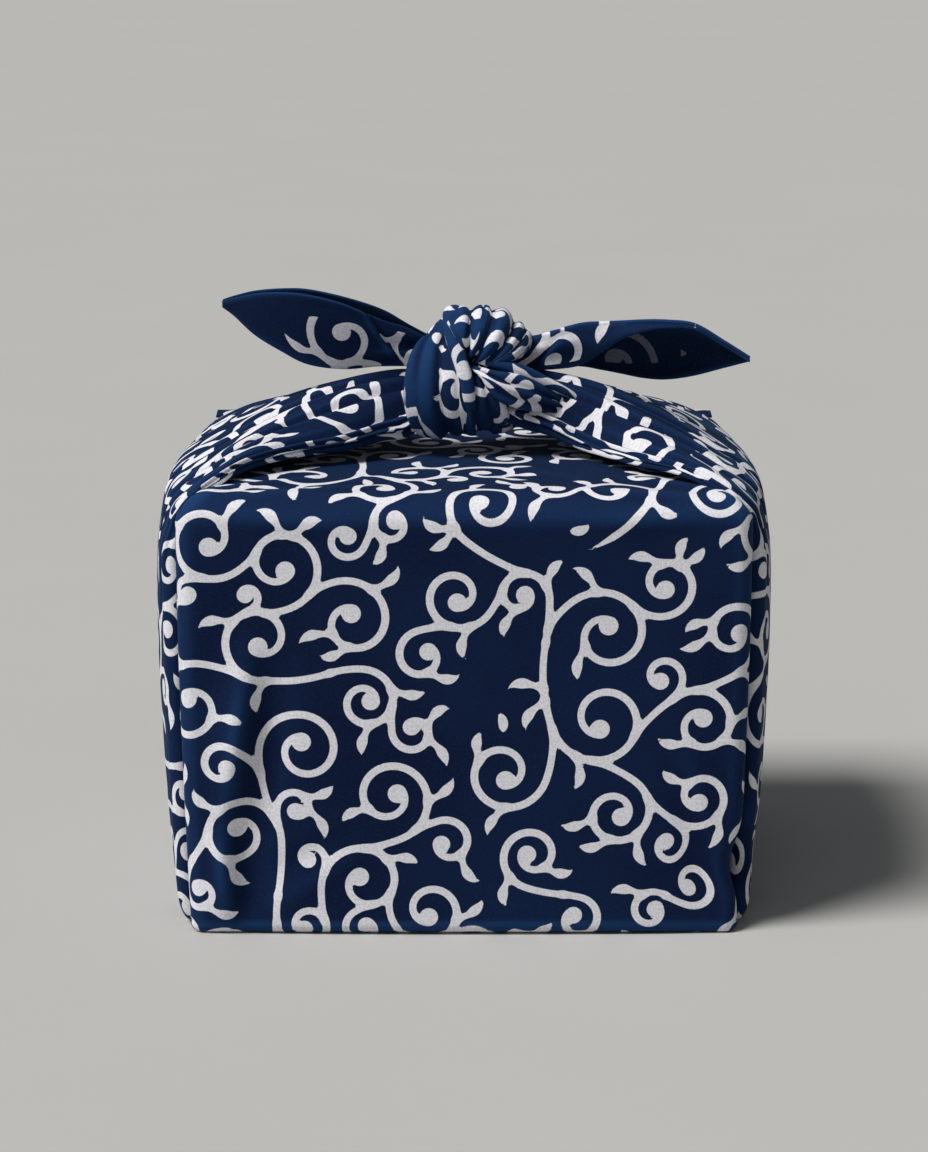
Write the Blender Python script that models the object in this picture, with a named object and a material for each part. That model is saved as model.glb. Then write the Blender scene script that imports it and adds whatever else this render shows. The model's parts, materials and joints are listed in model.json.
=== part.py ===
"""A furoshiki parcel: one square cloth folded round a box-shaped load and tied on top.

The cloth is one closed solid. It stands on its flat base, with its origin at the centre of
that base, its front towards -Y and the knot's two straps running left and right along X.
All sizes are in metres.
"""

import math
from bisect import bisect_right
from typing import NamedTuple

import bmesh
import bpy
from mathutils import Vector

# The wrapped load.
PARCEL_DEPTH = 0.209
PARCEL_HEIGHT = 0.1915
BASE_EDGE_RADIUS = 0.004
TOP_EDGE_RADIUS = 0.012
TOP_SIDE_RADIUS = 0.016

# How the front and back faces end at an upright edge, where the cloth turns in to a tuck.
EDGE_RADIUS = 0.007
EDGE_TURN = math.radians(105)
TUCK_DEPTH = 0.0035
TUCK_SETBACK = 0.0128
ROLL_RADIUS = 0.005
ROLL_SETBACK = 0.0175
ROLL_START = math.radians(235)
ROLL_TURN = math.radians(110)
FACE_CROWN = 0.0022

# The full side between two rolls. FULL_BULGE is the bulge at which a roll stands out by ROLL_OUT.
FULL_BULGE = 0.015
ROLL_OUT = 0.002
SIDE_PLEAT = 0.0018
SIDE_PLEATS = 1.25

# A strap's creases reach their full depth where it is this thick, and the rolls at its two edges
# take up to this share of it.
CREASED_THICKNESS = 0.0095
WIDEST_ROLL = 0.4

# Facets.
FACE_STEPS = 14
EDGE_STEPS = 4
ROLL_STEPS = 4
SIDE_STEPS = 12
WALL_STEPS = 11
CORNER_STEPS = 4
STRAP_STEPS = 20
BAND_AROUND = 28
BAND_SQUARENESS = 0.8
BAND_ALONG = 11
EAR_ALONG = 12
LEAF_STEPS = 3

# The cloth where it is doubled at the two free ends.
LEAF_THICKNESS = 0.0018
LEAF_FOLD_GAP = 0.0012

# How round their fold is: how far the leaves start from it, and how much of it is flat.
FOLD_SHOULDER = 0.6
FOLD_FLAT = 0.5

# The knot's middle.
KNOT = Vector((0.002, 0.0, PARCEL_HEIGHT + 0.0345))
KNOT_CORE = Vector((0.0240, 0.0190, 0.0220))

# Which way the width of each of its bands runs.
ACROSS_LOOP = Vector((1.0, 0.0, 0.0))
ACROSS_FAN = Vector((-0.906, 0.0, 0.423))
ACROSS_LOWER = Vector((0.95, 0.0, 0.30))

INDIGO = (0.012, 0.032, 0.105, 1.0)
ROUGHNESS = 0.85


class Level(NamedTuple):
    """One height of the parcel's walls."""

    height: float
    half_width: float
    bulge: float


class Dent(NamedTuple):
    """A soft hollow in the front face, by its middle, its reach and its depth."""

    across: float
    height: float
    reach_across: float
    reach_up: float
    depth: float


class Station(NamedTuple):
    """One place along a strap: its crest above the parcel, half its span, droop, thickness."""

    out: float
    rise: float
    span: float
    droop: float
    thick: float


class Crease(NamedTuple):
    """A trough along a strap: its place across, -1 front to 1 back, its width and depth."""

    place: float
    width: float
    depth: float


class Turn(NamedTuple):
    """One place along a knot's band, from the knot's middle, with the band's size and bow."""

    right: float
    back: float
    up: float
    width: float
    thick: float
    bow: float


class Fold(NamedTuple):
    """One place along a free end: its fold, the lower or upper ends of its two leaves, its gape."""

    out: float
    back: float
    fold: float
    front_hem: float
    back_hem: float
    gape: float


LEVELS = (
    Level(0.000, 0.1175, 0.0030),
    Level(0.022, 0.1183, 0.0085),
    Level(0.048, 0.1193, 0.0120),
    Level(0.084, 0.1204, 0.0142),
    Level(0.118, 0.1212, 0.0150),
    Level(0.148, 0.1216, 0.0145),
    Level(0.172, 0.1218, 0.0115),
    Level(PARCEL_HEIGHT, 0.1216, 0.0075),
)

DENTS = (
    Dent(-0.098, 0.060, 0.016, 0.040, 0.0020),
    Dent(-0.070, 0.030, 0.022, 0.016, 0.0012),
    Dent(0.104, 0.034, 0.012, 0.030, 0.0016),
    Dent(0.030, 0.120, 0.060, 0.020, 0.0008),
)

STRAP = (
    Station(0.1120, -0.0250, 0.078, 0.0020, 0.0050),
    Station(0.1160, -0.0120, 0.088, 0.0025, 0.0050),
    Station(0.1175, -0.0030, 0.094, 0.0030, 0.0050),
    Station(0.1120, 0.0040, 0.092, 0.0030, 0.0050),
    Station(0.0965, 0.0135, 0.080, 0.0045, 0.0060),
    Station(0.0770, 0.0232, 0.063, 0.0080, 0.0070),
    Station(0.0570, 0.0307, 0.045, 0.0110, 0.0085),
    Station(0.0400, 0.0352, 0.031, 0.0120, 0.0105),
    Station(0.0260, 0.0375, 0.021, 0.0110, 0.0130),
    Station(0.0080, 0.0370, 0.014, 0.0080, 0.0140),
)

LEFT_CREASES = (
    Crease(-0.62, 0.09, 0.0048),
    Crease(-0.24, 0.10, 0.0034),
    Crease(0.22, 0.12, 0.0028),
    Crease(0.62, 0.10, 0.0038),
)
RIGHT_CREASES = (
    Crease(-0.56, 0.09, 0.0046),
    Crease(-0.12, 0.10, 0.0040),
    Crease(0.32, 0.11, 0.0030),
    Crease(0.70, 0.09, 0.0036),
)

FRONT_LOOP = (
    Turn(-0.0060, 0.0120, 0.0060, 0.020, 0.0090, 0.0),
    Turn(-0.0095, 0.0040, 0.0125, 0.023, 0.0090, 0.0),
    Turn(-0.0130, -0.0075, 0.0140, 0.027, 0.0095, 0.0),
    Turn(-0.0148, -0.0165, 0.0080, 0.029, 0.0100, 0.0),
    Turn(-0.0152, -0.0208, -0.0030, 0.030, 0.0105, 0.0),
    Turn(-0.0145, -0.0190, -0.0145, 0.029, 0.0125, 0.0),
    Turn(-0.0125, -0.0110, -0.0225, 0.026, 0.0090, 0.0),
    Turn(-0.0090, 0.0030, -0.0215, 0.020, 0.0090, 0.0),
)
TOP_LOOP = (
    Turn(0.0040, -0.0150, -0.0020, 0.010, 0.0080, 0.000),
    Turn(0.0070, -0.0175, 0.0070, 0.022, 0.0095, 0.002),
    Turn(0.0100, -0.0155, 0.0155, 0.035, 0.0105, 0.006),
    Turn(0.0125, -0.0080, 0.0225, 0.047, 0.0110, 0.011),
    Turn(0.0135, 0.0030, 0.0240, 0.050, 0.0110, 0.013),
    Turn(0.0125, 0.0120, 0.0185, 0.044, 0.0100, 0.010),
    Turn(0.0100, 0.0165, 0.0080, 0.030, 0.0090, 0.004),
    Turn(0.0070, 0.0160, -0.0030, 0.018, 0.0080, 0.000),
)
LOWER_LOOP = (
    Turn(0.0040, -0.0150, 0.0000, 0.012, 0.0080, 0.0),
    Turn(0.0085, -0.0175, -0.0090, 0.021, 0.0095, 0.0),
    Turn(0.0120, -0.0145, -0.0180, 0.026, 0.0100, 0.0),
    Turn(0.0135, -0.0040, -0.0220, 0.026, 0.0095, 0.0),
    Turn(0.0120, 0.0080, -0.0170, 0.020, 0.0090, 0.0),
)
LOOP_CREASES = (Crease(0.16, 0.14, 0.0024), Crease(-0.60, 0.16, 0.0008))
FAN_CREASES = (
    Crease(-0.44, 0.13, 0.0026),
    Crease(-0.02, 0.12, 0.0022),
    Crease(0.44, 0.14, 0.0026),
)

LEFT_END = (
    Fold(0.0140, 0.0000, 0.0380, 0.0500, 0.0505, 0.0060),
    Fold(0.0259, -0.0015, 0.0385, 0.0561, 0.0575, 0.0085),
    Fold(0.0375, -0.0030, 0.0382, 0.0605, 0.0642, 0.0110),
    Fold(0.0530, -0.0040, 0.0368, 0.0679, 0.0693, 0.0130),
    Fold(0.0690, -0.0035, 0.0388, 0.0718, 0.0727, 0.0120),
    Fold(0.0810, -0.0015, 0.0446, 0.0722, 0.0727, 0.0100),
    Fold(0.0925, 0.0015, 0.0515, 0.0708, 0.0712, 0.0080),
    Fold(0.1015, 0.0045, 0.0597, 0.0681, 0.0685, 0.0062),
    Fold(0.1067, 0.0065, 0.0634, 0.0664, 0.0665, 0.0055),
)
RIGHT_END = (
    Fold(0.0160, 0.0000, 0.0485, 0.0352, 0.0350, 0.0070),
    Fold(0.0305, 0.0010, 0.0512, 0.0362, 0.0357, 0.0090),
    Fold(0.0503, 0.0025, 0.0568, 0.0380, 0.0361, 0.0120),
    Fold(0.0615, 0.0030, 0.0577, 0.0452, 0.0342, 0.0130),
    Fold(0.0705, 0.0030, 0.0582, 0.0512, 0.0324, 0.0130),
    Fold(0.0800, 0.0025, 0.0588, 0.0545, 0.0306, 0.0120),
    Fold(0.0900, 0.0015, 0.0588, 0.0561, 0.0303, 0.0100),
    Fold(0.1018, -0.0005, 0.0574, 0.0552, 0.0325, 0.0080),
    Fold(0.1150, -0.0035, 0.0498, 0.0477, 0.0370, 0.0065),
    Fold(0.1258, -0.0065, 0.0431, 0.0411, 0.0408, 0.0055),
)


def clear_scene():
    """Empties the file it runs in."""
    for old in list(bpy.data.objects):
        bpy.data.objects.remove(old, do_unlink=True)


def make_material(name, colour, roughness):
    """A plain Principled material."""
    material = bpy.data.materials.new(name)
    material.use_nodes = True
    surface = material.node_tree.nodes["Principled BSDF"]
    surface.inputs["Base Color"].default_value = colour
    surface.inputs["Roughness"].default_value = roughness
    surface.inputs["Metallic"].default_value = 0.0
    return material


def read_rows(rows, share):
    """The row at share, 0 to 1 along a table, on a smooth curve through its rows."""
    place = min(max(share, 0.0), 1.0) * (len(rows) - 1)
    index = min(int(place), len(rows) - 2)
    part = place - index
    before, start = rows[max(index - 1, 0)], rows[index]
    end, after = rows[index + 1], rows[min(index + 2, len(rows) - 1)]
    values = []
    for a, b, c, d in zip(before, start, end, after):
        slope_in, slope_out = (c - a) / 2, (d - b) / 2
        values.append(
            b
            + slope_in * part
            + (3 * (c - b) - 2 * slope_in - slope_out) * part**2
            + (2 * (b - c) + slope_in + slope_out) * part**3
        )
    return type(start)(*values)


def level_at(height):
    """The walls' level at a height."""
    heights = [row.height for row in LEVELS]
    above = min(max(bisect_right(heights, height), 1), len(LEVELS) - 1)
    low, high = LEVELS[above - 1], LEVELS[above]
    part = (height - low.height) / (high.height - low.height)
    return read_rows(LEVELS, (above - 1 + part) / (len(LEVELS) - 1))


def creases_at(creases, place):
    """How deep the creases are at a place across."""
    return sum(c.depth * math.exp(-(((place - c.place) / c.width) ** 2)) for c in creases)


def dents_at(across, height):
    """How far the front face is pressed in."""
    return sum(
        d.depth
        * math.exp(-(((across - d.across) / d.reach_across) ** 2))
        * math.exp(-(((height - d.height) / d.reach_up) ** 2))
        for d in DENTS
    )


def arc(centre, radius, start, turn, steps):
    """Points in plan along an arc."""
    angles = (start + turn * step / steps for step in range(steps + 1))
    return [
        (centre[0] + radius * math.cos(a), centre[1] + radius * math.sin(a)) for a in angles
    ]


def quarter_outline(level):
    """The plan from the middle of the front face to the middle of the right side."""
    half_width, half_depth = level.half_width, PARCEL_DEPTH / 2
    flat = half_width - EDGE_RADIUS
    points = []
    for step in range(FACE_STEPS // 2):
        across = flat * step / (FACE_STEPS // 2)
        crown = FACE_CROWN * (1 - (across / flat) ** 2)
        points.append((across, -half_depth - crown))
    centre = (flat, EDGE_RADIUS - half_depth)
    points += arc(centre, EDGE_RADIUS, -math.pi / 2, EDGE_TURN, EDGE_STEPS)
    points.append((half_width - TUCK_DEPTH, TUCK_SETBACK - half_depth))
    roll = (half_width + ROLL_OUT * level.bulge / FULL_BULGE, ROLL_SETBACK - half_depth)
    points += arc(roll, ROLL_RADIUS, ROLL_START, ROLL_TURN, ROLL_STEPS)
    start_x, start_y = points[-1]
    swell = half_width + level.bulge - start_x
    for step in range(1, SIDE_STEPS // 2 + 1):
        along = step / (SIDE_STEPS // 2)
        rise = math.sin(along * math.pi / 2)
        pleat = SIDE_PLEAT * math.sin(along * math.tau * SIDE_PLEATS) * (1 - along)
        points.append((start_x + swell * rise + pleat, start_y * (1 - along)))
    return points


def outline(level):
    """The whole plan of the walls at a level, anticlockwise from the middle of the front."""
    right_front = quarter_outline(level)
    right_back = [(x, -y) for x, y in reversed(right_front[:-1])]
    right = right_front + right_back
    left = [(-x, y) for x, y in reversed(right[1:-1])]
    on_front = -PARCEL_DEPTH / 2 + EDGE_RADIUS / 2
    return [
        (x, y + dents_at(x, level.height) if y < on_front else y) for x, y in right + left
    ]


def edge_inset(height, radius, side_radius):
    """How far a rounded edge draws the walls in, front to back and side to side."""

    def inset(reach, size):
        into = min(max(size - reach, 0.0), size)
        return size - math.sqrt(size**2 - into**2)

    reach = PARCEL_HEIGHT - height if height > PARCEL_HEIGHT / 2 else height
    return inset(reach, radius), inset(reach, side_radius)


def wall_heights():
    """The heights of the parcel's rings, close together where its edges are rounded."""
    quarter = math.pi / 2
    corner = [step * quarter / CORNER_STEPS for step in range(CORNER_STEPS)]
    base = [BASE_EDGE_RADIUS * (1 - math.cos(angle)) for angle in corner]
    top = [PARCEL_HEIGHT - TOP_SIDE_RADIUS * (1 - math.cos(angle)) for angle in corner]
    low, high = BASE_EDGE_RADIUS, PARCEL_HEIGHT - TOP_SIDE_RADIUS
    walls = [low + (high - low) * step / WALL_STEPS for step in range(WALL_STEPS + 1)]
    return base + walls + top[::-1]


def closed_tube(name, around, along, place):
    """A closed solid from a grid rolled up: place(column, row) gives each of its points."""
    mesh_data = bmesh.new()
    bmesh.ops.create_grid(mesh_data, x_segments=around, y_segments=along, size=0.5)
    for vert in mesh_data.verts:
        column = round((vert.co.x + 0.5) * around) % around
        row = round((vert.co.y + 0.5) * along)
        vert.co = place(column, row)
    bmesh.ops.remove_doubles(mesh_data, verts=mesh_data.verts, dist=1e-6)
    rims = [edge for edge in mesh_data.edges if edge.is_boundary]
    bmesh.ops.holes_fill(mesh_data, edges=rims)
    bmesh.ops.recalc_face_normals(mesh_data, faces=mesh_data.faces)
    for face in mesh_data.faces:
        face.smooth = True
    mesh = bpy.data.meshes.new(name)
    mesh_data.to_mesh(mesh)
    mesh_data.free()
    thing = bpy.data.objects.new(name, mesh)
    bpy.context.scene.collection.objects.link(thing)
    return thing


def make_parcel():
    """The cloth round the load: flat faces, tucked upright edges and full sides."""
    heights = wall_heights()
    rings = []
    for height in heights:
        low = height < PARCEL_HEIGHT / 2
        radii = (BASE_EDGE_RADIUS,) * 2 if low else (TOP_EDGE_RADIUS, TOP_SIDE_RADIUS)
        draw_y, draw_x = edge_inset(height, *radii)
        ring = []
        for x, y in outline(level_at(height)):
            reach_x = 1 - draw_x / LEVELS[-1].half_width
            reach_y = 1 - draw_y / (PARCEL_DEPTH / 2)
            ring.append(Vector((x * reach_x, y * reach_y, height)))
        rings.append(ring)
    return closed_tube(
        "furoshiki", len(rings[0]), len(heights) - 1, lambda column, row: rings[row][column]
    )


def strap_ring(station, inward, creases, side):
    """One section across a strap: its creased outside, its rolled edges and its underside."""
    middle = Vector((side * station.out, 0.0, PARCEL_HEIGHT + station.rise))
    steps = STRAP_STEPS
    roll = min(station.thick / 2 / station.span, WIDEST_ROLL)
    upper, lower = [], []
    for step in range(steps + 1):
        place = 2 * step / steps - 1
        edge = math.sqrt(max(1 - ((abs(place) - 1 + roll) / roll) ** 2, 0.0))
        edge = edge if abs(place) > 1 - roll else 1.0
        depth = creases_at(creases, place) * min(station.thick / CREASED_THICKNESS, 1.0)
        fall = station.droop * place**2
        centre = fall + station.thick / 2
        top = centre - station.thick / 2 * edge + depth * edge
        under = centre + station.thick / 2 * edge
        across = Vector((0.0, station.span * place, 0.0))
        upper.append(middle + across + inward * top)
        lower.append(middle + across + inward * under)
    return upper + lower[-2:0:-1]


def make_strap(name, side, creases):
    """The gathered side cloth, over the parcel's top edge and up to the knot. side is -1 or 1."""
    rings = []
    for index, station in enumerate(STRAP):
        before, after = STRAP[max(index - 1, 0)], STRAP[min(index + 1, len(STRAP) - 1)]
        run = Vector((after.out - before.out, 0.0, after.rise - before.rise)).normalized()
        inward = Vector((side * run.z * -1, 0.0, run.x))
        rings.append(strap_ring(station, inward, creases, side))
    return closed_tube(
        name, len(rings[0]), len(STRAP) - 1, lambda column, row: rings[row][column]
    )


def squared(reach):
    """A circle's reach along one axis, swelled towards a rounded square's."""
    return math.copysign(abs(reach) ** BAND_SQUARENESS, reach)


def turned_about(turns):
    """The same turns on the far side of the knot."""
    return tuple(turn._replace(right=-turn.right, back=-turn.back) for turn in turns)


def make_band(name, turns, across, creases):
    """A band of bunched cloth along its turns. across points along the band's width."""
    rings = []
    for row in range(BAND_ALONG + 1):
        share, step = row / BAND_ALONG, 0.5 / BAND_ALONG
        here = read_rows(turns, share)
        ahead, behind = read_rows(turns, share + step), read_rows(turns, share - step)
        run = (Vector(ahead[:3]) - Vector(behind[:3])).normalized()
        sideways = (across - run * across.dot(run)).normalized()
        outward = run.cross(sideways)
        fanned = Vector((0.0, 1.0, 0.0)).cross(across)
        ring = []
        for column in range(BAND_AROUND):
            angle = math.tau * column / BAND_AROUND
            place, lift = squared(math.cos(angle)), squared(math.sin(angle))
            depth = creases_at(creases, place) * max(lift, 0.0)
            ring.append(
                KNOT
                + Vector(here[:3])
                + sideways * (here.width / 2 * place)
                + outward * (here.thick / 2 * lift - depth)
                - fanned * (here.bow * place**2)
            )
        rings.append(ring)
    return closed_tube(name, BAND_AROUND, BAND_ALONG, lambda column, row: rings[row][column])


def make_core():
    """The cloth bunched in the middle of the knot, under its bands."""
    mesh_data = bmesh.new()
    bmesh.ops.create_icosphere(mesh_data, subdivisions=2, radius=1.0)
    bmesh.ops.scale(mesh_data, vec=KNOT_CORE, verts=mesh_data.verts)
    bmesh.ops.translate(mesh_data, vec=KNOT, verts=mesh_data.verts)
    mesh = bpy.data.meshes.new("knot_core")
    mesh_data.to_mesh(mesh)
    mesh_data.free()
    core = bpy.data.objects.new("knot_core", mesh)
    bpy.context.scene.collection.objects.link(core)
    return core


def leaf_ring(row, side):
    """One section of a folded end: two leaves that meet in a rounded fold."""
    up = 1 if row.front_hem > row.fold else -1
    half_fold = LEAF_THICKNESS + LEAF_FOLD_GAP / 2
    half_gape = max(row.gape / 2, half_fold)

    def leaf(which, hem, inset):
        points = []
        for step in range(LEAF_STEPS + 1):
            share = step / LEAF_STEPS
            reach = half_fold + (half_gape - half_fold) * math.sin(share * math.pi / 2)
            foot = row.fold + up * FOLD_SHOULDER * (LEAF_THICKNESS + inset)
            tall = foot + (hem - foot) * share
            points.append((which * (reach - inset) + row.back, tall))
        return points

    front_outer = leaf(-1, row.front_hem, 0.0)
    front_inner = leaf(-1, row.front_hem, LEAF_THICKNESS)
    back_outer = leaf(1, row.back_hem, 0.0)
    back_inner = leaf(1, row.back_hem, LEAF_THICKNESS)
    flat = half_fold * FOLD_FLAT
    bottom = [(row.back - flat, row.fold), (row.back + flat, row.fold)]
    loop = front_outer[::-1] + bottom + back_outer + back_inner[::-1] + front_inner
    return [Vector((side * row.out, y, PARCEL_HEIGHT + rise)) for y, rise in loop]


def make_end(name, folds, side):
    """A free end of the cloth, folded in two, from inside the knot to its tip."""
    rings = [
        leaf_ring(read_rows(folds, row / EAR_ALONG), side) for row in range(EAR_ALONG + 1)
    ]
    return closed_tube(
        name, len(rings[0]), EAR_ALONG, lambda column, row: rings[row][column]
    )


def join_into(whole, piece):
    """Joins a piece into the whole, and keeps the piece as a wire guide."""
    piece.hide_render = True
    piece.display_type = "WIRE"
    joint = whole.modifiers.new(piece.name, "BOOLEAN")
    joint.operation = "UNION"
    joint.solver = "EXACT"
    joint.object = piece


def main():
    clear_scene()
    cloth = make_parcel()
    cloth.data.materials.append(make_material("printed_cotton", INDIGO, ROUGHNESS))
    pieces = (
        make_strap("strap_left", -1, LEFT_CREASES),
        make_strap("strap_right", 1, RIGHT_CREASES),
        make_core(),
        make_band("loop_front", FRONT_LOOP, ACROSS_LOOP, LOOP_CREASES),
        make_band("loop_back", turned_about(FRONT_LOOP), -ACROSS_LOOP, LOOP_CREASES),
        make_band("loop_top", TOP_LOOP, ACROSS_FAN, FAN_CREASES),
        make_band("loop_lower", LOWER_LOOP, ACROSS_LOWER, FAN_CREASES),
        make_end("end_left", LEFT_END, -1),
        make_end("end_right", RIGHT_END, 1),
    )
    for piece in pieces:
        join_into(cloth, piece)


main()
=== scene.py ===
"""The looks of a furoshiki parcel: one printed cotton square, folded round a load and tied on top.

Every piece is a share of the same square cloth, modelled as a thin sheet on the folds of the
solid that it replaces. Sizes are in metres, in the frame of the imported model: +Z up, the front
face towards -Y, the straps along X.
"""

import json
import logging
import math
from dataclasses import dataclass, field
from enum import Enum
from typing import NamedTuple, Optional, Sequence

import bmesh
import bpy
import numpy as np
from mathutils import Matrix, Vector


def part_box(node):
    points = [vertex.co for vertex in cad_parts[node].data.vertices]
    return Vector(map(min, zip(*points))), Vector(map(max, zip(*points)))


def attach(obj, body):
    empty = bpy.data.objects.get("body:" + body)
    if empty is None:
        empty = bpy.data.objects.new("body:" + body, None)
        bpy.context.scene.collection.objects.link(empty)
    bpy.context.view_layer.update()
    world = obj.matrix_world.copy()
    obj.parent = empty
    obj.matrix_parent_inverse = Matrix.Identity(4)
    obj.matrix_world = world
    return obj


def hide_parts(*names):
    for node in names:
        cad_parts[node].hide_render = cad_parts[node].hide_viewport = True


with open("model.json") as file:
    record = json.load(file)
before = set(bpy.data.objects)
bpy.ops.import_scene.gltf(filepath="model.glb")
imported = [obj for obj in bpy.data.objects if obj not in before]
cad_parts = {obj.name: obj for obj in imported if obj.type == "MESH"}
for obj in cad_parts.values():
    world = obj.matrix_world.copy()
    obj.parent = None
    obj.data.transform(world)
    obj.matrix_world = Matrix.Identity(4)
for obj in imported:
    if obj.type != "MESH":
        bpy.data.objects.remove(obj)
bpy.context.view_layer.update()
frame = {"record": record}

log = logging.getLogger("furoshiki")

Triple = tuple[float, float, float]

NODE = "furoshiki"
BODY = "root"

# The load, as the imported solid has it: its front and back faces crown out past its depth, and
# the gap under the knot starts just above its top.
CROWN = 0.0022
GAP_OVER_TOP = 0.001
CAD_LOW, CAD_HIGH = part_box(NODE)
OPENINGS = {opening["name"]: opening["box_m"] for opening in frame["record"]["physics"]["openings"]}
DEPTH = CAD_HIGH[1] - CAD_LOW[1] - 2 * CROWN
HEIGHT = OPENINGS["knot_gap"][0][2] - GAP_OVER_TOP
KNOT = Vector((0.002, 0.0, HEIGHT + 0.0345))

# The cloth: a 0.9 m square, set cornerwise, so its corners lie on the two axes of the parcel.
CLOTH_SIDE = 0.90
TO_CORNER = CLOTH_SIDE / math.sqrt(2)
PLAIN_BORDER = 0.0084

# No cloth that turns in under the load comes nearer to the floor than this.
OFF_FLOOR = 0.0006

# The lower right fold gapes most this high above the base, over this reach up and down.
POCKET_HEIGHT = 0.030
POCKET_REACH = 0.013


# ---------------------------------------------------------------- shared shapes


class Hold(Enum):
    """How a share of the cloth is held."""

    STRETCHED = "stretched"
    GATHERED = "gathered"
    FOLDED = "folded"


class Level(NamedTuple):
    """One height of the parcel's walls."""

    height: float
    half_width: float
    bulge: float


class Station(NamedTuple):
    """One place along a side cloth: where its middle runs, its half span, its fall at the edges
    and the thickness of its rolled edges."""

    out: float
    rise: float
    span: float
    droop: float
    thick: float


class Sag(NamedTuple):
    """How far a strap's front edge is drawn back and down, at one place along it."""

    out: float
    drawn_back: float
    lowered: float


class Crease(NamedTuple):
    """A trough along a bunched cloth. place is across it, -1 to 1 over its outer side and on to
    -2 and 2 round its edges; start and end are shares of its length. It is steep on one side and
    slopes off on the other, towards lean; 0 is even."""

    place: float
    width: float
    depth: float
    start: float
    end: float
    lean: int = 0

    def pressed(self, beyond: np.ndarray, widths: np.ndarray) -> np.ndarray:
        """How far the cloth is pressed in.

        Args:
            beyond: How far across each point is from the trough.
            widths: The trough's width at each point.

        Returns:
            The share of the full depth at each point.
        """
        if not self.lean:
            return np.exp(-(np.abs(beyond / widths) ** 1.3))
        slope = np.exp(-np.abs(beyond) / (2.6 * widths))
        return np.where(beyond * self.lean > 0, slope, np.exp(-((beyond / widths) ** 2)))


class Turn(NamedTuple):
    """One place along a band of the knot, from the knot's middle, with its size, its bow and
    the way its width points, in degrees up from the right."""

    right: float
    back: float
    up: float
    width: float
    thick: float
    bow: float
    tilt: float


class Fold(NamedTuple):
    """One place along a free end: its fold, the hems of its two leaves and its gape."""

    out: float
    back: float
    fold: float
    front_hem: float
    back_hem: float
    gape: float


class Dent(NamedTuple):
    """A soft hollow in a face, by its middle, its reach and its depth."""

    across: float
    up: float
    reach_across: float
    reach_up: float
    depth: float


class Ridge(NamedTuple):
    """A soft straight fold in a face, from one end to the other, raised by height."""

    across: float
    up: float
    to_across: float
    to_up: float
    width: float
    height: float


LEVELS = (
    Level(0.000, 0.1175, 0.0030),
    Level(0.022, 0.1183, 0.0085),
    Level(0.048, 0.1193, 0.0120),
    Level(0.084, 0.1204, 0.0142),
    Level(0.118, 0.1212, 0.0150),
    Level(0.148, 0.1216, 0.0145),
    Level(0.172, 0.1218, 0.0115),
    Level(HEIGHT, 0.1216, 0.0075),
)


def hump(value: np.ndarray, middle: float, reach: float) -> np.ndarray:
    """1 where value is at the middle, falling off smoothly over the reach to each side."""
    return np.exp(-(((value - middle) / reach) ** 2))


def unit(vectors: np.ndarray) -> np.ndarray:
    """The same directions, each of length 1."""
    return vectors / np.maximum(np.linalg.norm(vectors, axis=-1, keepdims=True), 1e-12)


def run_length(line: np.ndarray) -> np.ndarray:
    """How far each point of a line is from its first, along the line."""
    return np.concatenate([[0.0], np.cumsum(np.linalg.norm(np.diff(line, axis=0), axis=1))])


def stand(name: str, data: bpy.types.ID) -> bpy.types.Object:
    """Puts a mesh, a lamp or a camera in the scene.

    Args:
        name: The object's name.
        data: What it shows.

    Returns:
        The object.
    """
    thing = bpy.data.objects.new(name, data)
    bpy.context.scene.collection.objects.link(thing)
    return thing


def through(rows: Sequence[tuple], shares: np.ndarray) -> np.ndarray:
    """Reads a table on a smooth curve through its rows.

    Args:
        rows: The table, a named row for each place.
        shares: Where to read it, 0 at its first row and 1 at its last.

    Returns:
        One line of numbers for each share, in the order of the table's columns.
    """
    table = np.array(rows, float)
    place = np.clip(shares, 0.0, 1.0) * (len(table) - 1)
    index = np.minimum(place.astype(int), len(table) - 2)
    part = (place - index)[:, None]
    before, start = table[np.maximum(index - 1, 0)], table[index]
    end, after = table[index + 1], table[np.minimum(index + 2, len(table) - 1)]
    leave, arrive = (end - before) / 2, (after - start) / 2
    return (
        start
        + leave * part
        + (3 * (end - start) - 2 * leave - arrive) * part**2
        + (2 * (start - end) + leave + arrive) * part**3
    )


def evenly(rows: Sequence[tuple], columns: Sequence[int], spacing: float) -> np.ndarray:
    """Shares along a table that are an even distance apart.

    Args:
        rows: The table.
        columns: The columns that hold the places it runs through.
        spacing: The distance wanted between two shares.

    Returns:
        The shares, from 0 to 1.
    """
    fine = np.linspace(0.0, 1.0, 60 * len(rows))
    places = through(rows, fine)[:, list(columns)]
    travelled = run_length(places)
    count = max(int(round(travelled[-1] / spacing)), 2) + 1
    return np.interp(np.linspace(0.0, travelled[-1], count), travelled, fine)


def read_at(rows: Sequence[tuple], values: np.ndarray) -> np.ndarray:
    """Reads a table at each value of its first column, which rises from row to row."""
    known = np.array([row[0] for row in rows])
    return through(rows, np.interp(values, known, np.linspace(0.0, 1.0, len(rows))))


def level_at(heights: np.ndarray) -> tuple[np.ndarray, np.ndarray]:
    """The walls' half width and bulge at each height."""
    read = read_at(LEVELS, heights)
    return read[:, 1], read[:, 2]


def eased(value: np.ndarray, start: float, end: float) -> np.ndarray:
    """0 before start, 1 after end, and a smooth ramp between them."""
    part = np.clip((value - start) / (end - start), 0.0, 1.0)
    return part * part * (3 - 2 * part)


def pocket(heights: np.ndarray) -> np.ndarray:
    """How far the lower right fold gapes at each height above the base, 1 at its widest."""
    return hump(heights, POCKET_HEIGHT, POCKET_REACH)


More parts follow.
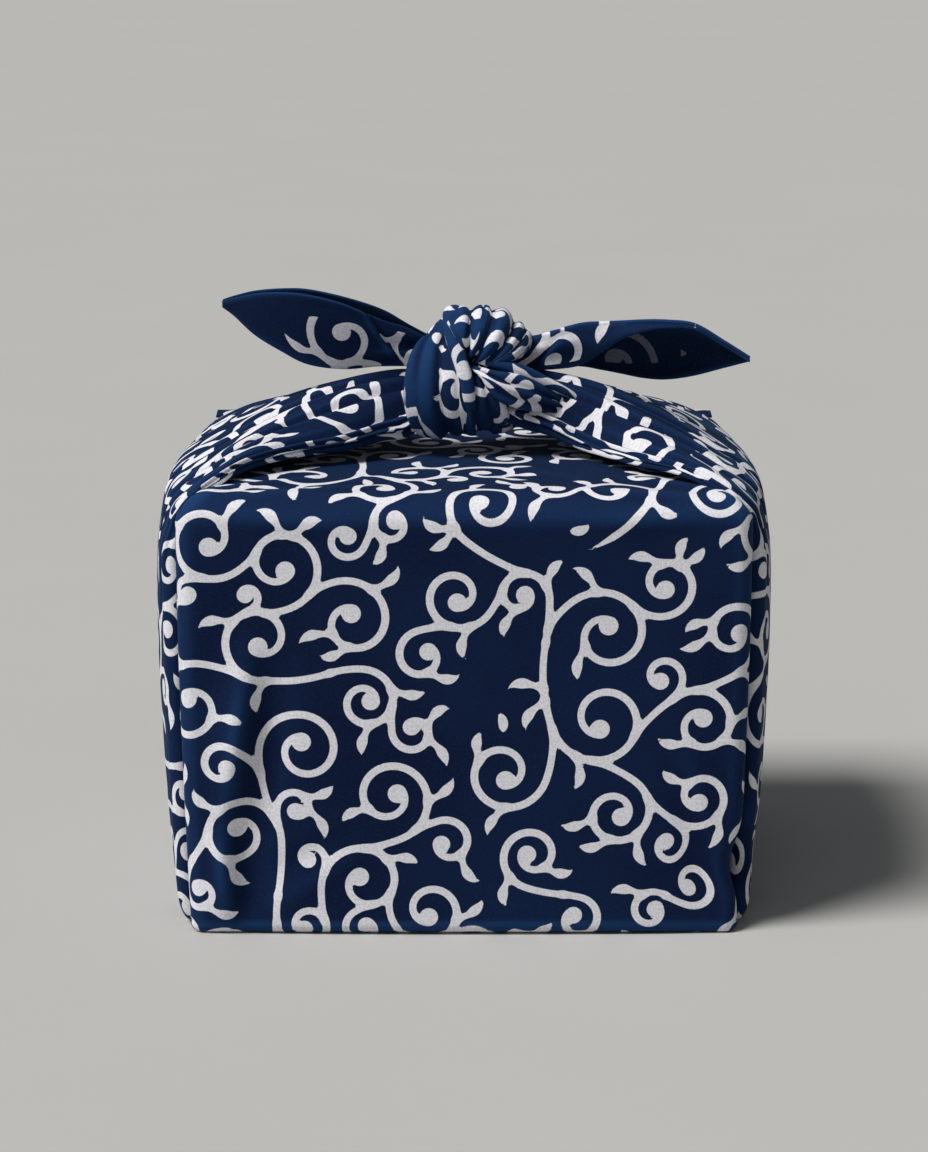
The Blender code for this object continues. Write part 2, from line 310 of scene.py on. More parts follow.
def travelled_along(points: np.ndarray, axis: int) -> np.ndarray:
    """How far each point of a grid is from its first row or column, along the grid.

    Args:
        points: The grid's points.
        axis: 0 to go from row to row, 1 from column to column.

    Returns:
        A distance for each point.
    """
    steps = np.linalg.norm(np.diff(points, axis=axis), axis=2)
    pad = [(1, 0), (0, 0)] if axis == 0 else [(0, 0), (1, 0)]
    return np.pad(np.cumsum(steps, axis=axis), pad)


# ---------------------------------------------------------------- the karakusa print


class Room(NamedTuple):
    """How near a new stroke may come: the gaps that it keeps to all others and to the vine that
    it springs from, and how far it may run before it has to keep each of them."""

    gap: float
    free: float
    parent_gap: float
    parent_free: float


class Brush(Enum):
    """The kinds of stroke in the print."""

    SCROLL = "scroll"
    HOOK = "hook"
    LEAF = "leaf"
    DROP = "drop"


@dataclass
class Stroke:
    """One stroke of the print: its line, how wide it is along the line and how it turns."""

    brush: Brush
    hand: int
    points: np.ndarray
    headings: np.ndarray
    travelled: np.ndarray
    half: np.ndarray
    bulb: Optional[tuple[np.ndarray, float]] = None

    def parts(self) -> list[tuple[np.ndarray, np.ndarray]]:
        """The stroke's lines and their half widths, its end bulb as a very short line.

        Returns:
            A pair for each line: its points, and its half width at each of them.
        """
        lines = [(self.points, self.half)]
        if self.bulb:
            middle, radius = self.bulb
            spread = np.array([[0.0, 0.0], [1e-5, 0.0]])
            lines.append((middle + spread, np.array([radius, radius])))
        return lines


@dataclass
class Karakusa:
    """A karakusa vine scroll that repeats in both directions, grown stroke by stroke.

    Scrolls curl off one another wherever there is room for them, leaves sprout from the outside
    of the scrolls, and a few loose drops fill what is left. A scroll whose radius is past large
    turns further round. Each pass gives scrolls of one radius so many tries.
    """

    tile: float = 0.300
    vine: float = 0.00155
    gap: float = 0.0040
    fillet: float = 0.0020
    unprinted_tip: float = 0.0005
    large: float = 0.012
    lead_step: float = 0.0025
    curl_steps: int = 40
    leaf_steps: int = 16
    vine_room: Room = Room(gap, 0.0154, 0.0024, 0.014)
    leaf_room: Room = Room(0.0027, 0.0068, 0.0014, 0.0085)
    scroll_passes: tuple[tuple[float, int], ...] = (
        (0.019, 200), (0.016, 400), (0.0135, 600), (0.011, 800), (0.0092, 900), (0.008, 900)
    )
    small_tries: int = 400
    seed: int = 16
    pitch: float = 0.0005
    reach: float = 0.006
    room_pitch: float = 0.0015
    room_reach: float = 0.012
    strokes: list[Stroke] = field(default_factory=list)

    def __post_init__(self) -> None:
        """Grows the vines and charts how far every place is from their edges."""
        self.chance = np.random.RandomState(self.seed)
        self.cells = int(round(self.tile / self.room_pitch))
        self.room = np.full((self.cells, self.cells), self.tile)
        self.grow()
        self.chart = self.edges()

    def windows(
        self, line: np.ndarray, reach: float, cells: int
    ) -> tuple[tuple[np.ndarray, ...], np.ndarray, np.ndarray]:
        """The chart's cells within reach of a line.

        Args:
            line: The line's points.
            reach: How far from the line to look.
            cells: How many cells the chart has each way.

        Returns:
            The cells' own indices, wrapped onto the tile, and their middles across and up.
        """
        pitch = self.tile / cells
        low = np.floor((line.min(0) - reach) / pitch).astype(int)
        high = np.ceil((line.max(0) + reach) / pitch).astype(int)
        across, up = np.arange(low[0], high[0] + 1), np.arange(low[1], high[1] + 1)
        middles = np.meshgrid((across + 0.5) * pitch, (up + 0.5) * pitch)
        return np.ix_(up % cells, across % cells), middles[0], middles[1]

    def clearance(self, points: np.ndarray) -> np.ndarray:
        """How far each point is from the nearest stroke so far."""
        cell = np.floor(points / (self.tile / self.cells)).astype(int) % self.cells
        return self.room[cell[:, 1], cell[:, 0]]

    def lay(self, stroke: Stroke) -> None:
        """Adds a stroke and marks the room that it takes.

        Args:
            stroke: The stroke.
        """
        self.strokes.append(stroke)
        for line, half in stroke.parts():
            for first in range(0, len(line) - 1, 5):
                piece, width = line[first : first + 6], half[first : first + 6]
                cells, across, up = self.windows(piece, self.room_reach, self.cells)
                away = np.hypot(across[..., None] - piece[:, 0], up[..., None] - piece[:, 1])
                self.room[cells] = np.minimum(self.room[cells], (away - width).min(-1))

    def scroll(
        self,
        brush: Brush,
        start: np.ndarray,
        heading: float,
        hand: int,
        radius: float,
        lead: float,
        turns: float,
    ) -> Optional[Stroke]:
        """Draws a vine that leads off and curls up into a bulb, if there is room for it.

        Args:
            brush: Scroll or hook.
            start: Where the vine starts.
            heading: Which way it starts out.
            hand: 1 if it curls to the left, -1 to the right.
            radius: The radius at which it starts to curl.
            lead: How far it runs, bending slowly, before it curls.
            turns: How many turns it curls through.

        Returns:
            The stroke, or None where it would touch another.
        """
        leading = max(int(lead / self.lead_step), 1)
        curling = self.curl_steps
        part = (np.arange(curling) + 0.5) / curling
        close = 0.34 if radius > self.large else 0.50
        sweep = turns * math.tau / curling
        curled = radius * close ** (part**1.1) * sweep
        steps = np.concatenate([np.full(leading, lead / leading), curled])
        bend = hand * self.chance.uniform(0.1, 0.5) / leading
        turned = np.concatenate([np.full(leading, bend), np.full(curling, hand * sweep)])
        headings = heading + np.cumsum(turned)
        middle = headings - turned / 2
        moves = np.stack([steps * np.cos(middle), steps * np.sin(middle)], 1)
        points = start + np.vstack([[0.0, 0.0], np.cumsum(moves, 0)])
        travelled = np.concatenate([[0.0], np.cumsum(steps)])
        half = self.vine * (0.92 + 0.14 * np.sin(math.pi * travelled / travelled[-1]))
        half = half if radius > 0.009 else half * 0.95
        size = 0.00335 + 0.04 * min(radius, 0.020)
        side = hand * np.array([-math.sin(headings[-1]), math.cos(headings[-1])])
        bulb = (points[-1] + side * (size - self.vine * 0.98), size)
        headings = np.concatenate([[heading], headings])
        return Stroke(brush, hand, points, headings, travelled, half, bulb)

    def clear(self, stroke: Stroke, gap: float, free: float = -1.0) -> bool:
        """Whether a stroke keeps clear of every other.

        Args:
            stroke: The stroke.
            gap: The gap that it has to keep.
            free: How far it may run before it has to.

        Returns:
            Whether it does.
        """
        late = stroke.travelled > free
        open_to = self.clearance(stroke.points)
        return not late.any() or bool((open_to[late] >= stroke.half[late] + gap).all())

    def fits(self, stroke: Stroke, parent: Stroke, room: Room) -> bool:
        """Whether there is room for a stroke that springs from a vine.

        Args:
            stroke: The stroke.
            parent: The vine.
            room: How near it may come to both.

        Returns:
            Whether there is.
        """
        if not self.clear(stroke, room.gap, room.free):
            return False
        late = stroke.travelled > room.parent_free
        away = stroke.points[late][:, None, :] - parent.points[None, :, :]
        between = np.hypot(away[..., 0], away[..., 1]) - parent.half[None, :]
        return bool((between - stroke.half[late][:, None] > room.parent_gap).all())

    def sow(self, count: int, radius: float) -> None:
        """Starts new pairs of scrolls in open ground, curling away from each other.

        Args:
            count: How many pairs to start.
            radius: About how large they are.
        """
        sown = 0
        for _ in range(80 * count):
            if sown == count:
                return
            place = self.chance.uniform(0.0, self.tile, 2)
            heading = self.chance.uniform(0.0, math.tau)
            hand = self.chance.choice([-1, 1])
            size = radius * self.chance.uniform(0.9, 1.12)
            lead = self.chance.uniform(0.8, 1.8) * size
            if self.clearance(place[None])[0] < self.gap * 2.2:
                continue
            first = self.scroll(Brush.SCROLL, place, heading, hand, size, lead, self.turns(size))
            if not self.clear(first, self.gap * 1.15):
                continue
            small = max(size * self.chance.uniform(0.55, 0.8), 0.0085)
            second = self.scroll(
                Brush.SCROLL, place, heading + math.pi, hand, small, lead / 2, self.turns(small)
            )
            if self.clear(second, self.gap):
                self.lay(first)
                self.lay(second)
                self.dress(second, 6, 1)
            else:
                first.half *= np.clip(first.travelled / first.travelled[-1] / 0.12, 0, 1)
                self.lay(first)
            self.dress(first, 8, 2)
            sown += 1

    def turns(self, radius: float) -> float:
        """How many turns a scroll of that size takes."""
        fewest, most = (1.05, 1.30) if radius > self.large else (0.78, 0.94)
        return self.chance.uniform(fewest, most)

    def branch(self, radius: float, brush: Brush) -> None:
        """Tries to curl a scroll or a hook off the outside of a scroll.

        Args:
            radius: The radius at which it starts to curl.
            brush: Scroll or hook.
        """
        parent = self.strokes[self.chance.randint(len(self.strokes))]
        index = int(self.chance.uniform(0.04, 0.72) * (len(parent.points) - 1))
        if parent.brush is not Brush.SCROLL:
            return
        side = -parent.hand
        heading = parent.headings[index] + side * self.chance.uniform(0.12, 0.35)
        hooked = brush is Brush.HOOK
        lead = self.chance.uniform(0.004, 0.007) if hooked else self.chance.uniform(0.4, 1.7) * radius
        turns = self.chance.uniform(0.55, 0.70) if hooked else self.turns(radius)
        vine = self.scroll(brush, parent.points[index], heading, side, radius, lead, turns)
        if self.fits(vine, parent, self.vine_room):
            self.lay(vine)
            self.dress(vine, 8, 1 if hooked else 2)

    def leaf(self, brush: Brush, start: np.ndarray, heading: float, hand: int, length: float) -> Stroke:
        """Draws a pointed leaf, or a loose drop, that bends to one side.

        Args:
            brush: Leaf or drop.
            start: Where it starts.
            heading: Which way it starts out.
            hand: 1 if it bends to the left, -1 to the right.
            length: Its length along its middle.

        Returns:
            The stroke.
        """
        steps = self.leaf_steps
        part = (np.arange(steps) + 0.5) / steps
        bend = hand * self.chance.uniform(1.2, 1.8)
        turned = bend / steps * (2.4 * part - 0.2)
        headings = heading + np.cumsum(turned)
        middle = headings - turned / 2
        moves = length / steps * np.stack([np.cos(middle), np.sin(middle)], 1)
        points = start + np.vstack([[0.0, 0.0], np.cumsum(moves, 0)])
        along = np.linspace(0.0, 1.0, steps + 1)
        if brush is Brush.LEAF:
            foot = 0.66 + 0.40 * hump(along, 0.0, 0.16)
            belly = 0.95 * hump(along, 0.60, 0.25)
            half = self.vine * (foot + belly) * np.clip((1 - along) / 0.50, 0.0, 1.0) ** 0.80
        else:
            half = self.vine * 1.35 * np.sin(math.pi * along**0.75) ** 1.15
        headings = np.concatenate([[heading], headings])
        return Stroke(brush, hand, points, headings, along * length, half)

    def sprout(self, parent: Stroke, index: int, length: float) -> bool:
        """Tries to sprout a leaf from the outside of a vine.

        Args:
            parent: The vine.
            index: The point on it.
            length: The leaf's length.

        Returns:
            Whether there was room for it.
        """
        side = -parent.hand
        lean = side * self.chance.uniform(0.55, 1.15)
        backwards = self.chance.rand() < 0.35
        heading = parent.headings[index] + (math.pi - lean if backwards else lean)
        hand = self.chance.choice([-1, 1])
        leaf = self.leaf(Brush.LEAF, parent.points[index], heading, hand, length)
        fits = self.fits(leaf, parent, self.leaf_room)
        if fits:
            self.lay(leaf)
        return fits

    def dress(self, parent: Stroke, tries: int, most: int) -> None:
        """Sprouts leaves from the outer turn of a vine.

        Args:
            parent: The vine.
            tries: How many places to try.
            most: How many leaves are enough.
        """
        laid = 0
        for _ in range(tries):
            index = int(self.chance.uniform(0.16, 0.74) * (len(parent.points) - 1))
            laid += self.sprout(parent, index, self.chance.uniform(0.0150, 0.0185))
            if laid == most:
                return

    def scatter(self, length: float) -> None:
        """Tries to lay a loose drop in open ground.

        Args:
            length: The drop's length.
        """
        place, heading = self.chance.uniform(0.0, self.tile, 2), self.chance.uniform(0.0, math.tau)
        drop = self.leaf(Brush.DROP, place, heading, self.chance.choice([-1, 1]), length)
        if self.clear(drop, self.gap * 1.2):
            self.lay(drop)

    def grow(self) -> None:
        """Grows the whole tile, large scrolls first."""
        self.sow(5, 0.020)
        for radius, tries in self.scroll_passes * 2:
            for _ in range(tries):
                self.branch(radius * self.chance.uniform(0.93, 1.07), Brush.SCROLL)
            if radius < 0.015:
                self.sow(2, radius)
        for _ in range(self.small_tries):
            self.branch(self.chance.uniform(0.0056, 0.0066), Brush.HOOK)
        for stroke in list(self.strokes):
            if stroke.brush is not Brush.LEAF:
                self.dress(stroke, 12, 1)
        for _ in range(self.small_tries):
            self.scatter(self.chance.uniform(0.009, 0.012))

    def edges(self) -> np.ndarray:
        """Charts the distance into the print from its nearest edge.

        Returns:
            A grid of distances over the whole tile, negative on bare ground.
        """
        cells = int(round(self.tile / self.pitch))
        chart = np.full((cells, cells), -self.reach)
        for stroke in self.strokes:
            alone = np.full((cells, cells), -self.reach)
            for line, half in stroke.parts():
                if stroke.brush in (Brush.LEAF, Brush.DROP):
                    half = half - self.unprinted_tip * np.linspace(0.0, 1.0, len(half)) ** 6
                for first in range(0, len(line) - 1, 6):
                    piece, width = line[first : first + 7], half[first : first + 7]
                    where, across, up = self.windows(piece, self.reach, cells)
                    into = np.full(across.shape, -self.reach)
                    for start, end, thin, thick in zip(piece, piece[1:], width, width[1:]):
                        run = end - start
                        along = (across - start[0]) * run[0] + (up - start[1]) * run[1]
                        part = np.clip(along / max(run @ run, 1e-12), 0.0, 1.0)
                        away = np.hypot(across - start[0] - part * run[0], up - start[1] - part * run[1])
                        into = np.maximum(into, thin + (thick - thin) * part - away)
                    alone[where] = np.maximum(alone[where], into)
            share = np.clip(0.5 + 0.5 * (alone - chart) / self.fillet, 0.0, 1.0)
            joined = chart + (alone - chart) * share + self.fillet * share * (1 - share)
            chart = np.where(alone > -self.reach, joined, chart)
        return chart

    def into(self, across: np.ndarray, up: np.ndarray) -> np.ndarray:
        """How far into the print each place on the cloth is.

        Args:
            across: How far across the cloth each place is.
            up: How far along it.

        Returns:
            The distances, negative on bare ground.
        """
        cells = len(self.chart)
        x, y = across / self.pitch - 0.5, up / self.pitch - 0.5
        left, low = np.floor(x).astype(int), np.floor(y).astype(int)
        right_share, high_share = x - left, y - low
        left, low = left % cells, low % cells
        right, high = (left + 1) % cells, (low + 1) % cells
        below = self.chart[low, left] * (1 - right_share) + self.chart[low, right] * right_share
        above = self.chart[high, left] * (1 - right_share) + self.chart[high, right] * right_share
        return below * (1 - high_share) + above * high_share


# ---------------------------------------------------------------- the finish


class Bench:
    """Adds nodes to one material, a line for each."""

    def __init__(self, material: bpy.types.Material) -> None:
        """Clears the material, ready for its nodes.

        Args:
            material: The material.
        """
        material.use_nodes = True
        self.tree = material.node_tree
        self.tree.nodes.clear()

    def node(self, kind: str, **settings: object) -> bpy.types.Node:
        """Adds a node.

        Args:
            kind: Its type.
            **settings: What to set on it.

        Returns:
            The node.
        """
        made = self.tree.nodes.new(kind)
        for name, value in settings.items():
            setattr(made, name, value)
        return made

    def feed(self, socket: bpy.types.NodeSocket, value: object) -> None:
        """Feeds an input.

        Args:
            socket: The input.
            value: The socket to link to it, or the value to set on it.
        """
        if isinstance(value, bpy.types.NodeSocket):
            self.tree.links.new(value, socket)
        else:
            socket.default_value = value

    def maths(self, operation: str, *values: object, clamp: bool = False) -> bpy.types.NodeSocket:
        """Adds one arithmetic step.

        Args:
            operation: What it does.
            *values: The sockets or numbers that it does it to.
            clamp: Whether to keep the result between 0 and 1.

        Returns:
            The result's socket.
        """
        made = self.node("ShaderNodeMath", operation=operation, use_clamp=clamp)
        for socket, value in zip(made.inputs, values):
            self.feed(socket, value)
        return made.outputs[0]

    def ramp(
        self, value: object, low: float, high: float, to_low: float, to_high: float
    ) -> bpy.types.NodeSocket:
        """Carries a value smoothly from one range to another, and holds it at the ends.

        Args:
            value: The value's socket.
            low: Where the first range starts.
            high: Where it ends.
            to_low: Where the second range starts.
            to_high: Where it ends.

        Returns:
            The result's socket.
        """
        made = self.node("ShaderNodeMapRange", interpolation_type="SMOOTHSTEP")
        for socket, given in zip(made.inputs, (value, low, high, to_low, to_high)):
            self.feed(socket, given)
        return made.outputs[0]

    def mix(self, share: object, first: object, second: object) -> bpy.types.NodeSocket:
        """Mixes two colours.

        Args:
            share: How much of the second there is.
            first: The first colour.
            second: The second colour.

        Returns:
            The mixed colour's socket.
        """
        made = self.node("ShaderNodeMix", data_type="RGBA")
        for index, value in ((0, share), (6, first), (7, second)):
            self.feed(made.inputs[index], value)
        return made.outputs[2]

    def noise(self, where: object, scale: float, detail: float) -> bpy.types.NodeSocket:
        """Adds a cloudy value about 0.5.

        Args:
            where: The socket of the place.
            scale: How many clouds there are in a metre.
            detail: How many finer layers they have.

        Returns:
            The value's socket.
        """
        made = self.node("ShaderNodeTexNoise")
        self.feed(made.inputs["Vector"], where)
        made.inputs["Scale"].default_value = scale
        made.inputs["Detail"].default_value = detail
        return made.outputs[0]

    def attribute(self, name: str) -> bpy.types.NodeSocket:
        """A value that the mesh carries at its corners."""
        return self.node("ShaderNodeAttribute", attribute_name=name).outputs["Fac"]


@dataclass(frozen=True)
class PrintedCotton:
    """Plain-woven indigo cotton with an off-white print: its colours, its weave and its rubbed places,
    which also carry a painted highlight along ridges and hems.
    """

    name: str
    indigo: Triple = (0.0028, 0.0082, 0.0370)
    # A lighter, cyan indigo for faded dye, which also serves as the painted highlight on ridges and hems.
    faded_and_lit: Triple = (0.0110, 0.0480, 0.1500)
    white: Triple = (0.8150, 0.8050, 0.8550)
    print_strength: float = 1.0
    thread: float = 0.00052
    roughness: float = 0.82
    sheen: float = 0.06
    bump: float = 0.30

    def make(self) -> bpy.types.Material:
        """Builds the material.

        Returns:
            A Principled material that reads the cloth's own coordinates, its print, and how rubbed each
            point is, which also paints a highlight on ridges and hems.
        """
        material = bpy.data.materials.new(self.name)
        bench = Bench(material)
        cloth = bench.node("ShaderNodeUVMap", uv_map="cloth").outputs["UV"]
        weave, slubs = self.weave(bench, cloth)
        speckle = bench.noise(cloth, 900.0, 2.0)
        colour = self.colour(bench, cloth, slubs, speckle)
        surface = bench.node("ShaderNodeBsdfPrincipled")
        bench.feed(surface.inputs["Base Color"], colour)
        rough = bench.ramp(speckle, 0.3, 0.7, self.roughness - 0.06, self.roughness + 0.06)
        bench.feed(surface.inputs["Roughness"], rough)
        surface.inputs["Specular IOR Level"].default_value = 0.08
        surface.inputs["Sheen Weight"].default_value = self.sheen
        surface.inputs["Sheen Roughness"].default_value = 0.45
        surface.inputs["Sheen Tint"].default_value = (0.25, 0.62, 1.0, 1.0)
        relief = bench.maths("ADD", bench.maths("MULTIPLY", weave, 0.6), slubs)
        bump = bench.node("ShaderNodeBump")
        bump.inputs["Strength"].default_value = self.bump
        bump.inputs["Distance"].default_value = 0.0003
        bench.feed(bump.inputs["Height"], relief)
        bench.feed(surface.inputs["Normal"], bump.outputs[0])
        output = bench.node("ShaderNodeOutputMaterial")
        bench.feed(output.inputs["Surface"], surface.outputs[0])
        return material

    def weave(
        self, bench: Bench, cloth: bpy.types.NodeSocket
    ) -> tuple[bpy.types.NodeSocket, bpy.types.NodeSocket]:
        """Makes the plain weave.

        Args:
            bench: The material's bench.
            cloth: The place on the flat cloth.

        Returns:
            How high the threads stand, over one another and under, and their thick places.
        """
        split = bench.node("ShaderNodeSeparateXYZ")
        bench.feed(split.inputs[0], cloth)
        waves = [
            bench.maths("SINE", bench.maths("MULTIPLY", split.outputs[axis], math.pi / self.thread))
            for axis in (0, 1)
        ]
        weave = bench.maths("MULTIPLY_ADD", bench.maths("MULTIPLY", *waves), 0.5, 0.5)
        threads = []
        for stretch in ((1.0, 14.0, 1.0), (14.0, 1.0, 1.0)):
            longer = bench.node("ShaderNodeVectorMath", operation="MULTIPLY")
            bench.feed(longer.inputs[0], cloth)
            longer.inputs[1].default_value = stretch
            threads.append(bench.noise(longer.outputs[0], 140.0, 2.0))
        return weave, bench.maths("MULTIPLY", bench.maths("ADD", *threads), 0.5)

    def colour(
        self,
        bench: Bench,
        cloth: bpy.types.NodeSocket,
        slubs: bpy.types.NodeSocket,
        speckle: bpy.types.NodeSocket,
    ) -> bpy.types.NodeSocket:
        """Makes the print on the dyed ground, with both rubbed a little along the folds, where the lighter
        ground is also a painted highlight.

        Args:
            bench: The material's bench.
            cloth: The place on the flat cloth.
            slubs: The thick places in the threads.
            speckle: A fine grain.

        Returns:
            The colour's socket.
        """
        dye = bench.noise(cloth, 9.0, 3.0)
        # Rubbed places along ridges and hems, lightened partly as real rubbing and partly as a painted
        # highlight.
        rubbed_and_lit = bench.maths("ADD", bench.maths("MULTIPLY", bench.attribute("wear"), 0.55), -0.02)
        cloudy = bench.ramp(dye, 0.35, 0.75, 0.0, 0.16)
        grain = bench.ramp(speckle, 0.45, 0.80, 0.0, 0.22)
        # The lighter indigo mixed in here is painted highlight on ridges and hems, plus rubbing and uneven
        # dye.
        fade_and_highlight = bench.maths("ADD", bench.maths("ADD", rubbed_and_lit, cloudy), grain, clamp=True)
        ground = bench.mix(fade_and_highlight, (*self.indigo, 1.0), (*self.faded_and_lit, 1.0))
        mottle = bench.ramp(speckle, 0.34, 0.66, 0.84, 1.0)
        shade = bench.maths("MULTIPLY", bench.ramp(slubs, 0.38, 0.62, 0.90, 1.0), mottle)
        thin = bench.node("ShaderNodeMix", data_type="RGBA", blend_type="MULTIPLY")
        thin.inputs[0].default_value = 1.0
        bench.feed(thin.inputs[6], (*self.white, 1.0))
        bench.feed(thin.inputs[7], shade)
        ragged = bench.noise(cloth, 2600.0, 1.0)
        edge = bench.maths("MULTIPLY_ADD", ragged, 0.00028, -0.00014)
        into = bench.maths("ADD", bench.attribute("print"), edge)
        covered = bench.ramp(into, -0.00012, 0.00012, 0.0, self.print_strength)
        return bench.mix(covered, ground, thin.outputs[2])


@dataclass(frozen=True)
class PalePaint:
    """The floor: matte and pale."""

    name: str = "pale_floor"
    tone: Triple = (0.46, 0.455, 0.44)

    def make(self) -> bpy.types.Material:
        """Builds the floor's material.

        Returns:
            The material.
        """
        material = bpy.data.materials.new(self.name)
        bench = Bench(material)
        grain = bench.noise(bench.node("ShaderNodeTexCoord").outputs["Object"], 6.0, 4.0)
        lighter = tuple(part * 1.04 for part in self.tone)
        surface = bench.node("ShaderNodeBsdfPrincipled")
        bench.feed(surface.inputs["Base Color"], bench.mix(grain, (*self.tone, 1.0), (*lighter, 1.0)))
        surface.inputs["Roughness"].default_value = 0.75
        output = bench.node("ShaderNodeOutputMaterial")
        bench.feed(output.inputs["Surface"], surface.outputs[0])
        return material


# ---------------------------------------------------------------- sheets of cloth


@dataclass
class Lay:
    """A share of the cloth as a grid: where each of its points lies and what part of the cloth
    it is. hem is the distance from the cloth's own edge, and inside a point within the folds."""

    points: np.ndarray
    cloth: np.ndarray
    inside: np.ndarray
    hem: Optional[np.ndarray] = None
    ring: bool = False

    def facing_out(self) -> "Lay":
        """Makes sure that its faces point outwards.

        Returns:
            The same share, with its columns turned round where they would point inwards.
        """
        along, across = np.gradient(self.points, axis=0), np.gradient(self.points, axis=1)
        normal = np.cross(across, along)
        if (normal * (self.points - self.inside)).sum() >= 0:
            return self
        hem = None if self.hem is None else self.hem[:, ::-1]
        return Lay(self.points[:, ::-1], self.cloth[:, ::-1], self.inside, hem, self.ring)

    def wear(self, reach: float = 0.0035) -> np.ndarray:
        """How much each point is rubbed, and how much painted highlight it gets where a ridge catches the
        light.

        Args:
            reach: How far to look to each side for a bend.

        Returns:
            1 on a sharp ridge, 0 on the flat and in a trough, for each point.
        """
        along, across = np.gradient(self.points, axis=0), np.gradient(self.points, axis=1)
        normal = unit(np.cross(across, along))
        rubbed_and_lit = np.zeros(self.points.shape[:2])
        for axis, tangent in ((0, along), (1, across)):
            step = max(int(round(reach / max(np.median(np.linalg.norm(tangent, axis=2)), 1e-5))), 1)
            if self.points.shape[axis] <= 2 * step:
                continue
            ahead = np.roll(self.points, -step, axis=axis)
            behind = np.roll(self.points, step, axis=axis)
            bent = ((self.points - (ahead + behind) / 2) * normal).sum(2)
            if not (self.ring and axis == 1):
                ends = [slice(None), slice(None)]
                ends[axis] = slice(0, step)
                bent[tuple(ends)] = 0.0
                ends[axis] = slice(-step, None)
                bent[tuple(ends)] = 0.0
            rubbed_and_lit += np.clip(bent / reach, 0.0, 1.0)
        return np.clip(rubbed_and_lit * 1.8, 0.0, 1.0)


@dataclass
class Tailor:
    chart: Karakusa
    face: bpy.types.Material
    # A darker copy of the cotton for inner sides: its darkness is painted shade.
    shaded_reverse: bpy.types.Material
    # Reach of the lighter line along the hems: partly rubbed cloth, partly a painted highlight.
    hem_rub_and_highlight: float = 0.0011

    def piece(self, name: str, lay: Lay, thickness: float = 0.0) -> bpy.types.Object:
        """Makes one piece of cloth.

        Args:
            name: The piece's name.
            lay: Its grid.
            thickness: How thick to make it, or 0 for a single skin whose edges are all hidden.

        Returns:
            The finished object, in place.
        """
        lay = lay.facing_out()
        rows, columns = lay.points.shape[:2]
        printed = self.chart.into(lay.cloth[..., 0], lay.cloth[..., 1])
        if lay.hem is not None:
            printed = np.minimum(printed, lay.hem - PLAIN_BORDER)
        mesh = self.grid(name, rows, columns)
        places = np.array([vert.co[:2] for vert in mesh.vertices])
        column = np.rint((places[:, 0] + 0.5) * (columns - 1)).astype(int)
        row = np.rint((places[:, 1] + 0.5) * (rows - 1)).astype(int)
        mesh.vertices.foreach_set("co", lay.points[row, column].astype(np.float32).ravel())
        # How rubbed each point is, from its ridges and its hems; the material turns this into a lighter
        # indigo that is partly a painted highlight.
        rubbed_and_lit = lay.wear()
        if lay.hem is not None:
            rubbed_and_lit = np.maximum(rubbed_and_lit, hump(lay.hem, 0.0, self.hem_rub_and_highlight))
        for title, values in (("print", printed), ("wear", rubbed_and_lit)):
            carried = mesh.attributes.new(title, "FLOAT", "POINT")
            carried.data.foreach_set("value", values[row, column].astype(np.float32))
        corners = np.empty(len(mesh.loops), np.int32)
        mesh.loops.foreach_get("vertex_index", corners)
        flat = lay.cloth[row[corners], column[corners]].astype(np.float32)
        mesh.uv_layers.new(name="cloth").data.foreach_set("uv", flat.ravel())
        if lay.ring:
            self.close(mesh)
        mesh.polygons.foreach_set("use_smooth", [True] * len(mesh.polygons))
        mesh.update()
        thing = stand(name, mesh)
        mesh.materials.append(self.face)
        if thickness:
            self.thicken(thing, thickness)
        return thing

    def grid(self, name: str, rows: int, columns: int) -> bpy.types.Mesh:
        """Makes a flat grid mesh.

        Args:
            name: Its name.
            rows: How many rows of points it has.
            columns: How many columns.

        Returns:
            The mesh, half a metre to each side of its middle.
        """
        sheet = bmesh.new()
        bmesh.ops.create_grid(sheet, x_segments=columns - 1, y_segments=rows - 1, size=0.5)
        mesh = bpy.data.meshes.new(name)
        sheet.to_mesh(mesh)
        sheet.free()
        return mesh

    def close(self, mesh: bpy.types.Mesh) -> None:
        """Joins a rolled-up grid along the seam where its first and last columns meet.

        Args:
            mesh: The grid.
        """
        sheet = bmesh.new()
        sheet.from_mesh(mesh)
        rims = [vert for vert in sheet.verts if vert.is_boundary]
        bmesh.ops.remove_doubles(sheet, verts=rims, dist=1e-6)
        sheet.to_mesh(mesh)
        sheet.free()

    def thicken(self, thing: bpy.types.Object, thickness: float) -> None:
        """Gives a piece its thickness, with the cloth's reverse on its inner side in a darker copy of the
        cotton that paints shade there.

        Args:
            thing: The piece.
            thickness: How thick to make it.
        """
        thing.data.materials.append(self.shaded_reverse)
        solid = thing.modifiers.new("thickness", "SOLIDIFY")
        solid.thickness = thickness
        solid.offset = 0.0
        solid.material_offset = 1
        solid.material_offset_rim = 0
        evaluated = thing.evaluated_get(bpy.context.evaluated_depsgraph_get())
        finished = bpy.data.meshes.new_from_object(evaluated)
        thing.modifiers.clear()
        thing.data = finished

    def declare(
        self,
        thing: bpy.types.Object,
        flat: tuple[float, float],
    ) -> None:
        """Puts a finished piece on the parcel.

        Args:
            thing: The piece.
            flat: The width and length of its share of the flat cloth.
        """
        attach(thing, BODY)
        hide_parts(NODE)
        faces = thing.data.polygons
        skin = sum(face.area for face in faces)
        log.info("%s: %d faces, %.4f m2, flat %.3f x %.3f m", thing.name, len(faces), skin, *flat)


# ---------------------------------------------------------------- the wrapping


